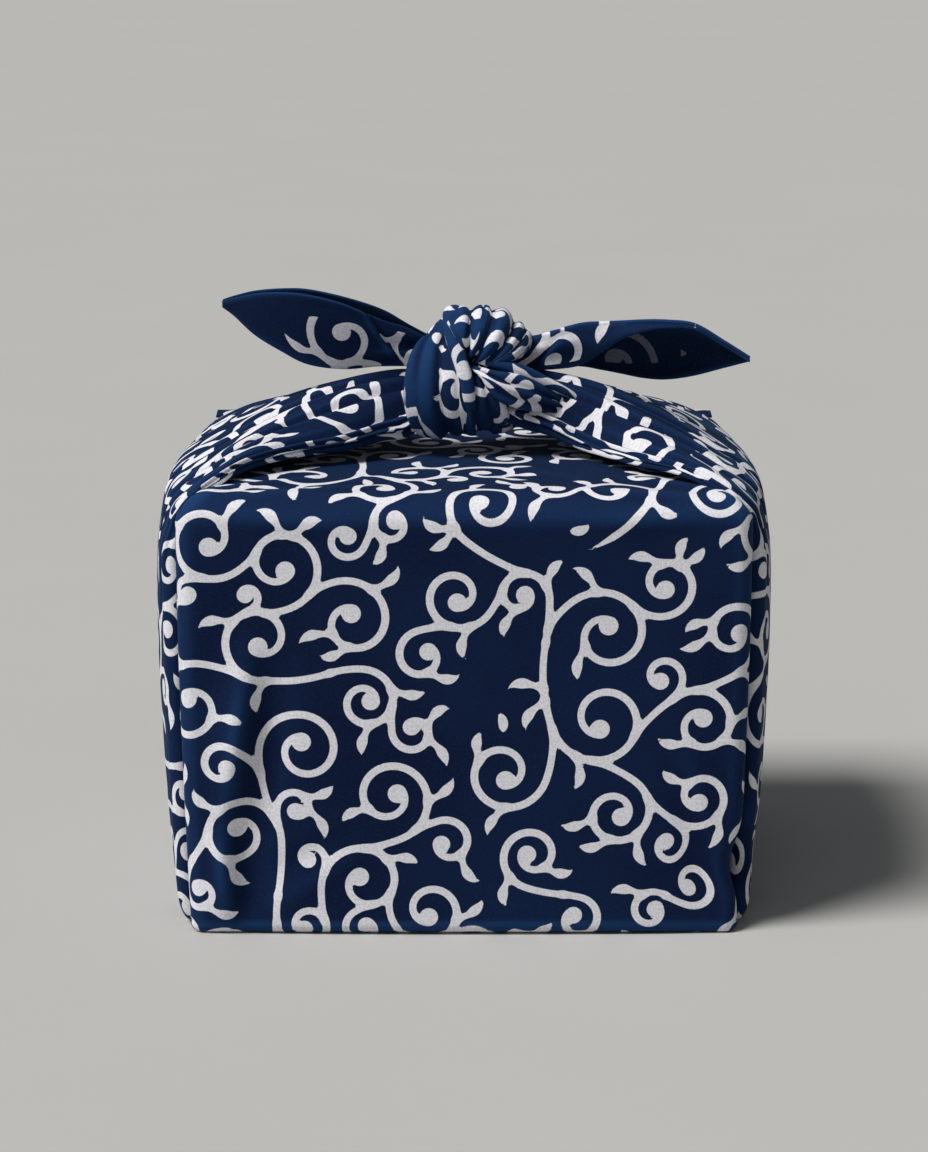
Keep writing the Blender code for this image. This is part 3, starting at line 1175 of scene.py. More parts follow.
@dataclass
class Wrapping:
    """The share of the cloth that covers the base, the front, the top and the back, and the
    corner of the cloth that hangs down the back.

    At each upright edge the cloth turns in, by tuck_in at once and by tuck_deep more at the end
    of the tuck, which is deeper by tuck_pocket where the lower fold gapes. pinch draws the front
    in beside that fold. The hanging corner lies corner_lift off the cloth below and corner_stands
    more past its start, and it curls and waves by as much as those say.
    """

    spacing: float = 0.00135
    face_reach: float = 0.1146
    base_radius: float = 0.004
    top_radius: float = 0.012
    face_edge: float = 0.007
    top_edge: float = 0.015
    base_edge: float = 0.0045
    edge_turn: float = math.radians(105)
    tuck_in: float = 0.0072
    tuck_back: float = 0.0090
    tuck_cloth: float = 0.0110
    tuck_deep: float = 0.0080
    tuck_pocket: float = 0.0110
    pinch: float = 0.0046
    pinch_over: tuple[float, float] = (0.080, 0.110)
    relief_ends: float = 0.004
    corner_reach: float = 0.1150
    corner_spacing: float = 0.0016
    corner_thickness: float = 0.0008
    corner_lift: float = 0.0006
    corner_stands: float = 0.0012
    corner_curl: float = 0.0008
    corner_wave: float = 0.0009
    print_place: tuple[float, float] = (0.1236, 0.2384)
    dents: tuple[Dent, ...] = (
        Dent(-0.092, 0.050, 0.016, 0.036, 0.0024),
        Dent(-0.070, 0.030, 0.022, 0.016, 0.0012),
        Dent(0.104, 0.034, 0.012, 0.030, 0.0016),
        Dent(0.030, 0.120, 0.060, 0.020, 0.0008),
    )
    front_ridges: tuple[Ridge, ...] = (
        Ridge(-0.093, 0.120, -0.102, 0.044, 0.0074, 0.0058),
        Ridge(-0.104, 0.050, -0.102, 0.002, 0.0066, 0.0048),
        Ridge(-0.086, 0.010, -0.040, 0.040, 0.0065, 0.0010),
        Ridge(0.112, 0.020, 0.092, 0.090, 0.0055, 0.0010),
        Ridge(-0.100, 0.184, -0.040, 0.178, 0.0050, 0.0006),
        Ridge(0.050, 0.181, 0.104, 0.185, 0.0050, 0.0007),
    )
    top_ridges: tuple[Ridge, ...] = (
        Ridge(-0.110, -0.092, -0.060, -0.060, 0.0050, 0.0012),
        Ridge(-0.095, -0.097, -0.020, -0.078, 0.0045, 0.0009),
        Ridge(-0.060, -0.080, 0.000, -0.040, 0.0060, 0.0008),
        Ridge(0.108, -0.090, 0.062, -0.058, 0.0050, 0.0011),
        Ridge(0.096, -0.098, 0.030, -0.084, 0.0045, 0.0008),
        Ridge(0.055, -0.072, 0.012, -0.035, 0.0060, 0.0008),
    )

    def path(self) -> tuple[np.ndarray, np.ndarray, np.ndarray]:
        """The way round the parcel from the middle of its base, up the front and over the top.

        Returns:
            The points (y, z), the outward direction at each, and how far along the way it is.
            They are further apart on the base, and closer up the back.
        """
        half = DEPTH / 2
        runs = (
            (half, self.base_radius, self.base_radius),
            (HEIGHT, self.base_radius, self.top_radius),
            (DEPTH, self.top_radius, self.top_radius),
            (HEIGHT, self.top_radius, self.base_radius),
            (half, self.base_radius, self.base_radius),
        )
        places, outward = [], []
        position, angle = np.array([0.0, 0.0]), -math.pi / 2
        for index, (length, first, last) in enumerate(runs):
            start = 0.0 if index == 0 else first
            end = 0.0 if index == len(runs) - 1 else last
            ahead = np.array([math.sin(angle), -math.cos(angle)])
            straight = length - start - end
            for share in np.linspace(0.0, 1.0, 200):
                places.append(position + ahead * straight * share)
                outward.append(angle)
            position = position + ahead * straight
            if index == len(runs) - 1:
                break
            normal = np.array([math.cos(angle), math.sin(angle)])
            centre = position - normal * last
            for share in np.linspace(0.0, 1.0, 60)[1:-1]:
                turned = angle - share * math.pi / 2
                places.append(centre + last * np.array([math.cos(turned), math.sin(turned)]))
                outward.append(turned)
            angle -= math.pi / 2
            position = centre + last * np.array([math.cos(angle), math.sin(angle)])
        places, outward = np.array(places), np.array(outward)
        travelled = run_length(places)
        share = np.where(np.sin(outward) > -0.2, 1.0, 0.55) * np.where(np.cos(outward) > 0.2, 0.62, 1.0)
        weight = np.concatenate([[0.0], np.cumsum(np.diff(travelled) * (share[1:] + share[:-1]) / 2)])
        count = int(weight[-1] / self.spacing) + 1
        at = np.interp(np.linspace(0.0, weight[-1], count), weight, travelled)
        turned = np.interp(at, travelled, outward)
        along = np.stack([np.interp(at, travelled, places[:, axis]) for axis in (0, 1)], 1)
        return along, np.stack([np.cos(turned), np.sin(turned)], 1), at

    def relief(self, across: np.ndarray, along: np.ndarray, outward: np.ndarray) -> np.ndarray:
        """How far the cloth stands out from the plain faces: its crown, hollows and soft folds.

        Args:
            across: How far across each point is.
            along: The points (y, z) of the way round, a row for each.
            outward: The outward direction at each.

        Returns:
            A height for each point.
        """
        y, z = along[:, :1], along[:, 1:]
        face = np.abs(outward[:, :1]) ** 3
        top = np.clip(outward[:, 1:], 0.0, 1.0) ** 3
        front = np.clip(-outward[:, :1], 0.0, 1.0) ** 3
        crowned = self.crowned(across) * face
        hollow = sum(
            dent.depth * hump(across, dent.across, dent.reach_across) * hump(z, dent.up, dent.reach_up)
            for dent in self.dents
        )
        soft = sum(self.fold(across, z, ridge) for ridge in self.front_ridges)
        raised = sum(self.fold(across, y, ridge) for ridge in self.top_ridges)
        return crowned + front * (soft - hollow) + top * raised

    def crowned(self, across: np.ndarray) -> np.ndarray:
        """How far a face crowns out at each distance across it."""
        return CROWN * np.clip(1 - (across / self.face_reach) ** 2, 0.0, 1.0)

    @staticmethod
    def fold(across: np.ndarray, up: np.ndarray, ridge: Ridge) -> np.ndarray:
        """Raises one soft fold, with a trough along one flank.

        Args:
            across: How far across the face each place is.
            up: How far up it.
            ridge: The fold.

        Returns:
            A height for each place.
        """
        run = np.array([ridge.to_across - ridge.across, ridge.to_up - ridge.up])
        length = np.hypot(*run)
        along = ((across - ridge.across) * run[0] + (up - ridge.up) * run[1]) / length
        beside = ((up - ridge.up) * run[0] - (across - ridge.across) * run[1]) / length
        share = np.clip(along / length, 0.0, 1.0)
        beyond = along - share * length
        rounded = hump(beside, 0.0, ridge.width) * hump(beyond, 0.0, ridge.width * 1.5)
        trough = hump(beside, ridge.width * 1.7, ridge.width) * hump(beyond, 0.0, ridge.width)
        taper = np.sin(math.pi * np.clip(share * 0.9 + 0.08, 0.0, 1.0))
        return ridge.height * taper * (rounded - 0.55 * trough)

    def lay(self) -> Lay:
        """Lays the cloth round the load.

        Returns:
            The wrapping's grid, a row for each place on the way round.
        """
        along, outward, travelled = self.path()
        half_width, _ = level_at(np.clip(along[:, 1], 0.0, HEIGHT))
        facing = np.clip(outward[:, 1], 0.0, 1.0) ** 2
        under = np.clip(-outward[:, 1], 0.0, 1.0) ** 2
        edge = self.face_edge + (self.top_edge - self.face_edge) * facing
        edge = (edge + (self.base_edge - self.face_edge) * under)[:, None]
        half_width = half_width[:, None]
        flat = half_width - edge

        steps = int(2 * self.face_reach / self.spacing)
        flat_part = np.linspace(-1.0, 1.0, steps + 1)[None, :]
        arcs = np.linspace(0.0, self.edge_turn, 12)[1:][None, :]
        tucks = np.linspace(0.0, 1.0, 5)[1:][None, :]
        turned_in = edge * (1 - math.cos(self.edge_turn))
        turned_out = flat + edge * math.sin(self.edge_turn)
        arc_across, arc_in = flat + edge * np.sin(arcs), edge * (1 - np.cos(arcs))
        tuck_across = turned_out - (turned_out - half_width + self.tuck_back) * tucks
        deepest = self.tuck_deep + self.tuck_pocket * pocket(along[:, 1:])
        tuck_in = turned_in + self.tuck_in * tucks + deepest * tucks**3
        tuck_cloth = flat + edge * self.edge_turn + self.tuck_cloth * tucks
        outer_across = np.concatenate([arc_across, tuck_across], 1)
        outer_in = np.concatenate([arc_in, tuck_in], 1)
        outer_cloth = np.concatenate([flat + edge * arcs, tuck_cloth], 1)
        across = np.concatenate([-outer_across[:, ::-1], flat_part * flat, outer_across], 1)
        inward = np.concatenate([outer_in[:, ::-1], np.zeros((len(flat), steps + 1)), outer_in], 1)
        cloth_across = np.concatenate([-outer_cloth[:, ::-1], flat_part * flat, outer_cloth], 1)

        front = np.clip(-outward[:, :1], 0.0, 1.0)
        across = across - self.pinch * front * pocket(along[:, 1:]) * eased(across, *self.pinch_over)
        stands = self.relief(across, along, outward) * hump(inward, 0.0, self.relief_ends)
        reach = stands - inward
        points = np.empty((*across.shape, 3))
        points[..., 0] = across
        points[..., 1] = along[:, :1] + outward[:, :1] * reach
        points[..., 2] = np.maximum(along[:, 1:] + outward[:, 1:] * reach, 0.0)
        back = outward[:, 0] > 0.35
        cloth_along = np.where(back, travelled - travelled[-1], travelled)
        cloth = np.stack([cloth_across, np.broadcast_to(cloth_along[:, None], across.shape)], 2)
        inside = np.array([0.0, 0.0, HEIGHT / 2])
        return Lay(points, cloth + np.array(self.print_place), inside)

    def hanging_corner(self) -> Lay:
        """Lays the corner of the cloth that comes over the top and hangs down the back.

        Returns:
            The corner's grid, from its start on the top down to its tip.
        """
        radius = self.top_radius
        length = TO_CORNER - (DEPTH / 2 + HEIGHT + DEPTH) + 2 * radius
        blunt = 0.0006
        rows = np.linspace(0.0, length - blunt, int(length / self.corner_spacing))
        columns = np.linspace(-1.0, 1.0, int(2 * length / self.corner_spacing))[None, :]
        half = np.minimum(length - rows, self.corner_reach)[:, None]
        across = half * columns
        bend = np.clip(rows - radius, 0.0, None)
        turned = np.clip(bend / radius, 0.0, math.pi / 2)
        down = np.clip(bend - radius * math.pi / 2, 0.0, None)
        y = DEPTH / 2 - radius + radius * np.sin(turned) - np.clip(radius - rows, 0.0, None)
        z = HEIGHT - radius * (1 - np.cos(turned)) - down
        normal = np.stack([np.sin(turned), np.cos(turned)], 1)
        lift = self.corner_lift + self.corner_stands * eased(rows, 0.0, 0.030)
        hem = (length - rows[:, None] - np.abs(across)) / math.sqrt(2)
        curl = self.corner_curl * hump(hem, 0.0, 0.004)
        wave = self.corner_wave * np.abs(np.sin(across / 0.021 + rows[:, None] / 0.034))
        wave = wave * eased(rows, 0.02, 0.09)[:, None]
        crowned = self.crowned(across) * normal[:, :1] ** 3
        reach = lift[:, None] + curl + wave + crowned
        points = np.empty((*across.shape, 3))
        points[..., 0] = across
        points[..., 1] = y[:, None] + normal[:, :1] * reach
        points[..., 2] = z[:, None] + normal[:, 1:] * reach
        saved = (2 - math.pi / 2) * (self.base_radius + radius)
        travelled = TO_CORNER - length + rows[:, None] - saved
        cloth = np.stack([across, np.broadcast_to(travelled, across.shape)], 2)
        return Lay(points, cloth + np.array(self.print_place), np.array([0.0, 0.0, HEIGHT / 2]), hem)

    def build(self, tailor: Tailor) -> None:
        """Makes both pieces and puts them on the parcel.

        Args:
            tailor: Who makes them.
        """
        wrap = tailor.piece("wrapping", self.lay())
        tailor.declare(wrap, (0.270, 0.800))
        corner = tailor.piece("hanging_corner", self.hanging_corner(), self.corner_thickness)
        tailor.declare(corner, (0.245, 0.150))


# ---------------------------------------------------------------- the side cloths


@dataclass
class SideCloth:
    """One side of the parcel: the cloth up its wall, rolled in at both edges, drawn over the top
    edge and gathered into the strap that runs up to the knot.

    side is -1 left, 1 right. set_back is how far the front edge lies back beside the gaping
    lower fold, and set_back_over is where that starts and ends, from the middle of the side.
    Pairs of shares of the length say where a soft wave across the wall fades, where the cloth is
    gathered, and where its edges close under it, from left_open apart on each side of its middle.
    """

    name: str
    side: int
    creases: tuple[Crease, ...]
    print_place: tuple[float, float]
    sags: tuple[Sag, ...]
    set_back: float = 0.0
    set_back_over: tuple[float, float] = (0.050, 0.088)
    spacing: float = 0.00125
    roll: float = 0.010
    wall_span: float = 0.0920
    roll_out: float = 0.002
    full_bulge: float = 0.015
    wave: float = 0.0012
    waves: float = 1.25
    wave_fades: tuple[float, float] = (0.40, 0.60)
    gathered_over: tuple[float, float] = (0.45, 0.75)
    closed_over: tuple[float, float] = (0.52, 0.66)
    left_open: float = 0.010
    round_edge: float = 0.018
    cloth_start: float = 0.109
    strap: tuple[Station, ...] = (
        Station(0.1315, -0.0125, 0.0922, 0.0070, 0.0090),
        Station(0.1268, -0.0055, 0.0930, 0.0055, 0.0075),
        Station(0.1200, -0.0004, 0.0935, 0.0040, 0.0060),
        Station(0.1120, 0.0042, 0.0920, 0.0030, 0.0052),
        Station(0.0965, 0.0137, 0.0800, 0.0045, 0.0060),
        Station(0.0770, 0.0234, 0.0630, 0.0080, 0.0070),
        Station(0.0570, 0.0309, 0.0450, 0.0110, 0.0085),
        Station(0.0400, 0.0352, 0.0310, 0.0120, 0.0105),
        Station(0.0260, 0.0372, 0.0210, 0.0110, 0.0130),
        Station(0.0120, 0.0370, 0.0150, 0.0080, 0.0140),
    )

    def stations(self) -> tuple[Station, ...]:
        """The whole way up: in from under the base, up the wall and along the strap.

        Returns:
            The places along it.
        """
        base = (
            Station(0.1110, 0.0008 - HEIGHT, 0.0880, 0.0, 0.0090),
            Station(0.1165, 0.0008 - HEIGHT, 0.0895, 0.0, 0.0090),
            Station(0.1197, 0.0028 - HEIGHT, 0.0910, -0.0010, 0.0095),
        )
        walls = []
        for height in (0.010, 0.022, 0.048, 0.084, 0.118, 0.148, 0.165):
            half_width, bulge = (float(part[0]) for part in level_at(np.array([height])))
            proud = self.roll_out * bulge / self.full_bulge
            droop = bulge - proud - self.roll / 2
            walls.append(Station(half_width + bulge, height - HEIGHT, self.wall_span, droop, self.roll))
        return base + tuple(walls) + self.strap

    def lay(self) -> Lay:
        """Lays the cloth up the wall and along the strap.

        Returns:
            The side's grid, from under the base to the knot.
        """
        table = self.stations()
        shares = evenly(table, (0, 1), self.spacing)
        read = through(table, shares)
        out, rise, span, droop, thick = (read[:, index : index + 1] for index in range(5))
        run = unit(np.gradient(read[:, :2], axis=0))
        inward = np.stack([-run[:, 1], run[:, 0]], 1)
        travelled = run_length(read[:, :2])
        length = travelled[-1]
        along = (travelled / length)[:, None]

        steps = int(2 * self.wall_span / self.spacing)
        place = np.linspace(-1.0, 1.0, steps + 1)[None, :]
        rounded = np.minimum(thick / 2, span * 0.4)
        flat = span - rounded
        gathered = 2 * (self.wall_span - span) * eased(along, *self.gathered_over)
        depth, hidden = self.pleats(place, along, gathered, flat)
        from_middle = np.abs(place)
        wave = self.wave * np.sin(math.tau * self.waves * (1 - from_middle)) * from_middle
        wave = wave * (1 - eased(along, *self.wave_fades))
        fall = droop * (1 - np.cos(from_middle * math.pi / 2)) - wave
        front = self.wing(-1, along, gathered, flat, rounded, droop, thick)
        back = self.wing(1, along, gathered, flat, rounded, droop, thick)
        middle = (flat * place, fall + depth, flat * place + hidden)
        y, into, cloth_across = (
            np.concatenate([ahead[:, ::-1], over, behind], 1)
            for ahead, over, behind in zip(front, middle, back)
        )
        y = y + self.set_back * pocket(HEIGHT + rise) * eased(-y, *self.set_back_over)
        sag = read_at(self.sags, out[:, 0])
        near_edge = eased(-y / span, 0.30, 1.0) * eased(rise, -0.010, -0.002)
        points = np.empty((*y.shape, 3))
        points[..., 0] = self.side * (out + inward[:, :1] * into)
        points[..., 1] = y + sag[:, 1:2] * near_edge
        points[..., 2] = HEIGHT + rise + inward[:, 1:] * into - sag[:, 2:] * near_edge
        points[..., 2] = np.maximum(points[..., 2], OFF_FLOOR)
        cloth_along = self.side * (self.cloth_start + travelled[:, None])
        cloth = np.stack([np.broadcast_to(cloth_along, y.shape), cloth_across], 2)
        within = 0.006
        centre = np.zeros((len(out), 1, 3))
        centre[..., 0] = self.side * (out + inward[:, :1] * within)
        centre[..., 2] = HEIGHT + rise + inward[:, 1:] * within
        return Lay(points, cloth + np.array(self.print_place), centre)

    def wing(
        self,
        sign: int,
        along: np.ndarray,
        gathered: np.ndarray,
        flat: np.ndarray,
        rounded: np.ndarray,
        droop: np.ndarray,
        thick: np.ndarray,
    ) -> tuple[np.ndarray, np.ndarray, np.ndarray]:
        """Rolls one edge of the cloth round and in under it.

        Args:
            sign: -1 for the front edge, 1 for the back edge.
            along: The shares of the length, a row for each.
            gathered: How much narrower than the wall the cloth is at each row.
            flat: The half width of its outer side at each row.
            rounded: How far the roll reaches past that.
            droop: How far the edge falls inwards at each row.
            thick: The roll's thickness at each row.

        Returns:
            How far across each point is, how far in, and how far across the cloth.
        """
        angles = np.linspace(0.0, math.pi, 23)[1:][None, :]
        depth, hidden = self.pleats(sign * (1 + angles / math.pi), along, gathered, flat)
        kept = 1 - np.minimum(depth / (thick / 2), 0.62) * np.sin(angles * 0.5 + math.pi / 4) ** 0.5
        edge_in = droop + thick / 2 * (1 - np.cos(angles) * kept)
        edge_y = flat + rounded * np.sin(angles) * kept
        edge_cloth = sign * (flat + (thick + rounded) / 2 * angles) + hidden
        closing = eased(along, *self.closed_over)
        back = np.linspace(0.0, 1.0, 15)[1:][None, :]
        under_y = flat - (self.left_open + (flat - self.left_open) * closing) * back
        under_in = droop + thick - droop * 0.9 * closing * (1 - (1 - back) ** 2)
        under_cloth = edge_cloth[:, -1:] + sign * (flat - under_y)
        return (
            sign * np.concatenate([edge_y, under_y], 1),
            np.concatenate([edge_in, under_in], 1),
            np.concatenate([edge_cloth, under_cloth], 1),
        )

    def pleats(
        self, place: np.ndarray, along: np.ndarray, gathered: np.ndarray, flat: np.ndarray
    ) -> tuple[np.ndarray, np.ndarray]:
        """The troughs between the pleats.

        Args:
            place: The places across, as a Crease gives them.
            along: The shares of the length, a row for each.
            gathered: How much narrower than the wall the cloth is at each row.
            flat: The half width of its outer side at each row.

        Returns:
            How deep the cloth is pressed in, and how much of it is hidden before each place.
        """
        depth, hidden = 0.0, 0.0
        shares = [self.hides(crease) for crease in self.creases]
        for crease, share in zip(self.creases, shares):
            shown = eased(along, crease.start, crease.start + 0.20)
            if crease.end < 1.0:
                shown = shown * (1 - eased(along, crease.end - 0.10, crease.end))
            across = flat if abs(crease.place) < 1 else self.round_edge
            widths = crease.width / across
            depth = depth + crease.depth * shown * crease.pressed(place - crease.place, widths)
            if share:
                step = 0.0007 / across
                jump = eased(place, crease.place - step, crease.place + step) - 0.5
                hidden = hidden + gathered * share / (sum(shares) + 1) * jump
        return depth, hidden

    @staticmethod
    def hides(crease: Crease) -> float:
        """How much cloth a crease hides beside the others: most of it goes under at the edges.

        Args:
            crease: The crease.

        Returns:
            Its weight.
        """
        if crease.end < 1.0:
            return 0.0
        return 0.4 if abs(crease.place) < 1 else 1.0

    def build(self, tailor: Tailor) -> None:
        """Makes the side cloth and puts it on the parcel."""
        cloth = tailor.piece(self.name, self.lay())
        tailor.declare(cloth, (0.215, 0.330))


# ---------------------------------------------------------------- the knot


def squared(reach: np.ndarray, power: float) -> np.ndarray:
    """A circle's reach along one axis, swelled towards a rounded square's."""
    return np.sign(reach) * np.abs(reach) ** power


@dataclass
class Band:
    """One band of bunched cloth in the knot."""

    name: str
    turns: tuple[Turn, ...]
    creases: tuple[Crease, ...]
    print_place: tuple[float, float]
    spacing: float = 0.0008
    squareness: float = 0.8
    hidden: float = 0.012

    def lay(self) -> Lay:
        """Lays the band round its turns.

        Returns:
            The band's grid, rolled up.
        """
        shares = evenly(self.turns, (0, 1, 2), self.spacing)
        read = through(self.turns, shares)
        middle = read[:, :3] + np.array(KNOT)
        width, thick, bow = (read[:, index : index + 1] for index in (3, 4, 5))
        tilt = np.radians(read[:, 6])
        run = unit(np.gradient(middle, axis=0))
        side = np.stack([np.cos(tilt), np.zeros(len(tilt)), np.sin(tilt)], 1)
        sideways = unit(side - run * (run * side).sum(1)[:, None])
        outward = np.cross(run, sideways)
        fanned = np.cross(np.array([[0.0, 1.0, 0.0]]), side)

        around = int(2.3 * float(width.max()) / self.spacing)
        angle = np.linspace(-math.pi / 2, 1.5 * math.pi, around + 1)[None, :]
        place = squared(np.cos(angle), self.squareness)
        lift = squared(np.sin(angle), self.squareness)
        along = np.linspace(0.0, 1.0, len(shares))[:, None]
        depth, jump = 0.0, 0.0
        for crease in self.creases:
            shown = eased(along, crease.start, crease.start + 0.15)
            shown = shown * (1 - eased(along, crease.end - 0.15, crease.end))
            pressed = crease.pressed(place - crease.place, crease.width)
            depth = depth + crease.depth * shown * pressed * np.clip(lift * 1.4, 0.0, 1.0)
            jump = jump + self.hidden * (eased(place, crease.place - 0.04, crease.place + 0.04) - 0.5)
        sides = width / 2 * place
        lifts = thick / 2 * lift - depth
        points = (
            middle[:, None, :]
            + sideways[:, None, :] * sides[..., None]
            + outward[:, None, :] * lifts[..., None]
            - fanned[:, None, :] * (bow * place**2)[..., None]
        )
        travelled = run_length(middle)
        round_it = travelled_along(points, 1)
        round_it = round_it[:, around // 2][:, None] - round_it + jump * np.clip(lift * 3, 0.0, 1.0)
        cloth = np.stack([round_it, np.broadcast_to(travelled[:, None], round_it.shape)], 2)
        return Lay(points, cloth + np.array(self.print_place), middle[:, None, :], ring=True)

    def build(self, tailor: Tailor, flat: tuple[float, float]) -> None:
        """Makes the band and puts it on the parcel."""
        cloth = tailor.piece(self.name, self.lay())
        tailor.declare(cloth, flat)


@dataclass
class Knot:
    """The square knot: a core of bunched cloth, a front and a back loop, the fan on top and the
    folds below it."""

    core: Triple = (0.0215, 0.0165, 0.0195)
    front: tuple[Turn, ...] = (
        Turn(-0.0050, 0.0120, 0.0060, 0.0130, 0.0090, 0.0, 0.0),
        Turn(-0.0080, 0.0040, 0.0130, 0.0150, 0.0095, 0.0, 0.0),
        Turn(-0.0115, -0.0075, 0.0145, 0.0195, 0.0100, 0.0, 0.0),
        Turn(-0.0138, -0.0165, 0.0080, 0.0250, 0.0110, 0.0, 0.0),
        Turn(-0.0142, -0.0208, -0.0030, 0.0285, 0.0120, 0.0, 0.0),
        Turn(-0.0130, -0.0190, -0.0145, 0.0280, 0.0120, 0.0, 0.0),
        Turn(-0.0105, -0.0110, -0.0225, 0.0240, 0.0095, 0.0, 0.0),
        Turn(-0.0090, 0.0030, -0.0215, 0.0200, 0.0090, 0.0, 0.0),
        Turn(-0.0070, 0.0105, -0.0120, 0.0130, 0.0075, 0.0, 0.0),
    )
    fan: tuple[Turn, ...] = (
        Turn(0.0012, -0.0080, 0.0085, 0.0060, 0.0060, 0.0000, 146.0),
        Turn(0.0024, -0.0145, 0.0102, 0.0115, 0.0075, 0.0000, 146.0),
        Turn(0.0052, -0.0195, 0.0142, 0.0215, 0.0095, 0.0012, 150.0),
        Turn(0.0082, -0.0180, 0.0202, 0.0330, 0.0112, 0.0042, 155.0),
        Turn(0.0100, -0.0090, 0.0244, 0.0390, 0.0120, 0.0058, 160.0),
        Turn(0.0106, 0.0030, 0.0250, 0.0400, 0.0115, 0.0065, 165.0),
        Turn(0.0100, 0.0120, 0.0190, 0.0370, 0.0105, 0.0060, 165.0),
        Turn(0.0090, 0.0165, 0.0080, 0.0280, 0.0090, 0.0030, 165.0),
        Turn(0.0070, 0.0160, -0.0030, 0.0180, 0.0080, 0.0000, 165.0),
    )
    tuck: tuple[Turn, ...] = (
        Turn(-0.0190, 0.0080, 0.0080, 0.0080, 0.0060, 0.0, 250.0),
        Turn(-0.0160, 0.0010, 0.0150, 0.0100, 0.0070, 0.0, 240.0),
        Turn(-0.0105, -0.0040, 0.0200, 0.0110, 0.0075, 0.0, 235.0),
        Turn(-0.0045, -0.0045, 0.0225, 0.0100, 0.0070, 0.0, 240.0),
        Turn(0.0010, 0.0000, 0.0215, 0.0080, 0.0060, 0.0, 250.0),
    )
    lower: tuple[Turn, ...] = (
        Turn(0.0020, -0.0110, 0.0060, 0.0060, 0.0060, 0.0, 8.0),
        Turn(0.0036, -0.0172, 0.0022, 0.0110, 0.0080, 0.0, 10.0),
        Turn(0.0055, -0.0196, -0.0062, 0.0175, 0.0095, 0.0, 12.0),
        Turn(0.0072, -0.0172, -0.0155, 0.0210, 0.0100, 0.0, 14.0),
        Turn(0.0078, -0.0065, -0.0212, 0.0210, 0.0095, 0.0, 14.0),
        Turn(0.0076, 0.0060, -0.0178, 0.0170, 0.0090, 0.0, 14.0),
        Turn(0.0070, 0.0105, -0.0080, 0.0110, 0.0070, 0.0, 14.0),
    )
    strand: tuple[Turn, ...] = (
        Turn(-0.0030, 0.0100, 0.0200, 0.0060, 0.0060, 0.0, 8.0),
        Turn(-0.0062, 0.0015, 0.0268, 0.0075, 0.0070, 0.0, 8.0),
        Turn(-0.0072, -0.0085, 0.0262, 0.0085, 0.0075, 0.0, 6.0),
        Turn(-0.0060, -0.0165, 0.0180, 0.0080, 0.0075, 0.0, 2.0),
        Turn(-0.0034, -0.0205, 0.0085, 0.0066, 0.0066, 0.0, -4.0),
        Turn(-0.0010, -0.0218, 0.0000, 0.0068, 0.0066, 0.0, -4.0),
        Turn(-0.0006, -0.0206, -0.0095, 0.0074, 0.0070, 0.0, 0.0),
        Turn(-0.0016, -0.0140, -0.0190, 0.0076, 0.0070, 0.0, 0.0),
        Turn(-0.0020, -0.0030, -0.0215, 0.0070, 0.0064, 0.0, 0.0),
        Turn(-0.0010, 0.0060, -0.0140, 0.0056, 0.0056, 0.0, 0.0),
    )
    point: tuple[Turn, ...] = (
        Turn(0.0000, -0.0140, 0.0066, 0.0022, 0.0022, 0.0, 96.0),
        Turn(0.0036, -0.0196, 0.0052, 0.0030, 0.0034, 0.0, 96.0),
        Turn(0.0076, -0.0222, 0.0034, 0.0058, 0.0054, 0.0, 98.0),
        Turn(0.0116, -0.0228, 0.0006, 0.0104, 0.0076, 0.0, 100.0),
        Turn(0.0168, -0.0222, -0.0024, 0.0142, 0.0092, 0.0, 100.0),
        Turn(0.0225, -0.0206, -0.0044, 0.0152, 0.0098, 0.0, 98.0),
        Turn(0.0285, -0.0188, -0.0068, 0.0140, 0.0090, 0.0, 96.0),
        Turn(0.0355, -0.0166, -0.0096, 0.0100, 0.0066, 0.0, 94.0),
        Turn(0.0430, -0.0140, -0.0130, 0.0060, 0.0044, 0.0, 94.0),
    )
    upper: tuple[Turn, ...] = (
        Turn(0.0000, -0.0110, 0.0092, 0.0020, 0.0022, 0.0, 90.0),
        Turn(0.0060, -0.0176, 0.0088, 0.0034, 0.0044, 0.0, 90.0),
        Turn(0.0130, -0.0200, 0.0078, 0.0044, 0.0058, 0.0, 90.0),
        Turn(0.0200, -0.0196, 0.0058, 0.0052, 0.0066, 0.0, 88.0),
        Turn(0.0275, -0.0182, 0.0026, 0.0052, 0.0064, 0.0, 86.0),
        Turn(0.0350, -0.0166, -0.0012, 0.0044, 0.0056, 0.0, 84.0),
        Turn(0.0425, -0.0150, -0.0052, 0.0036, 0.0044, 0.0, 84.0),
        Turn(0.0490, -0.0130, -0.0094, 0.0026, 0.0034, 0.0, 84.0),
    )

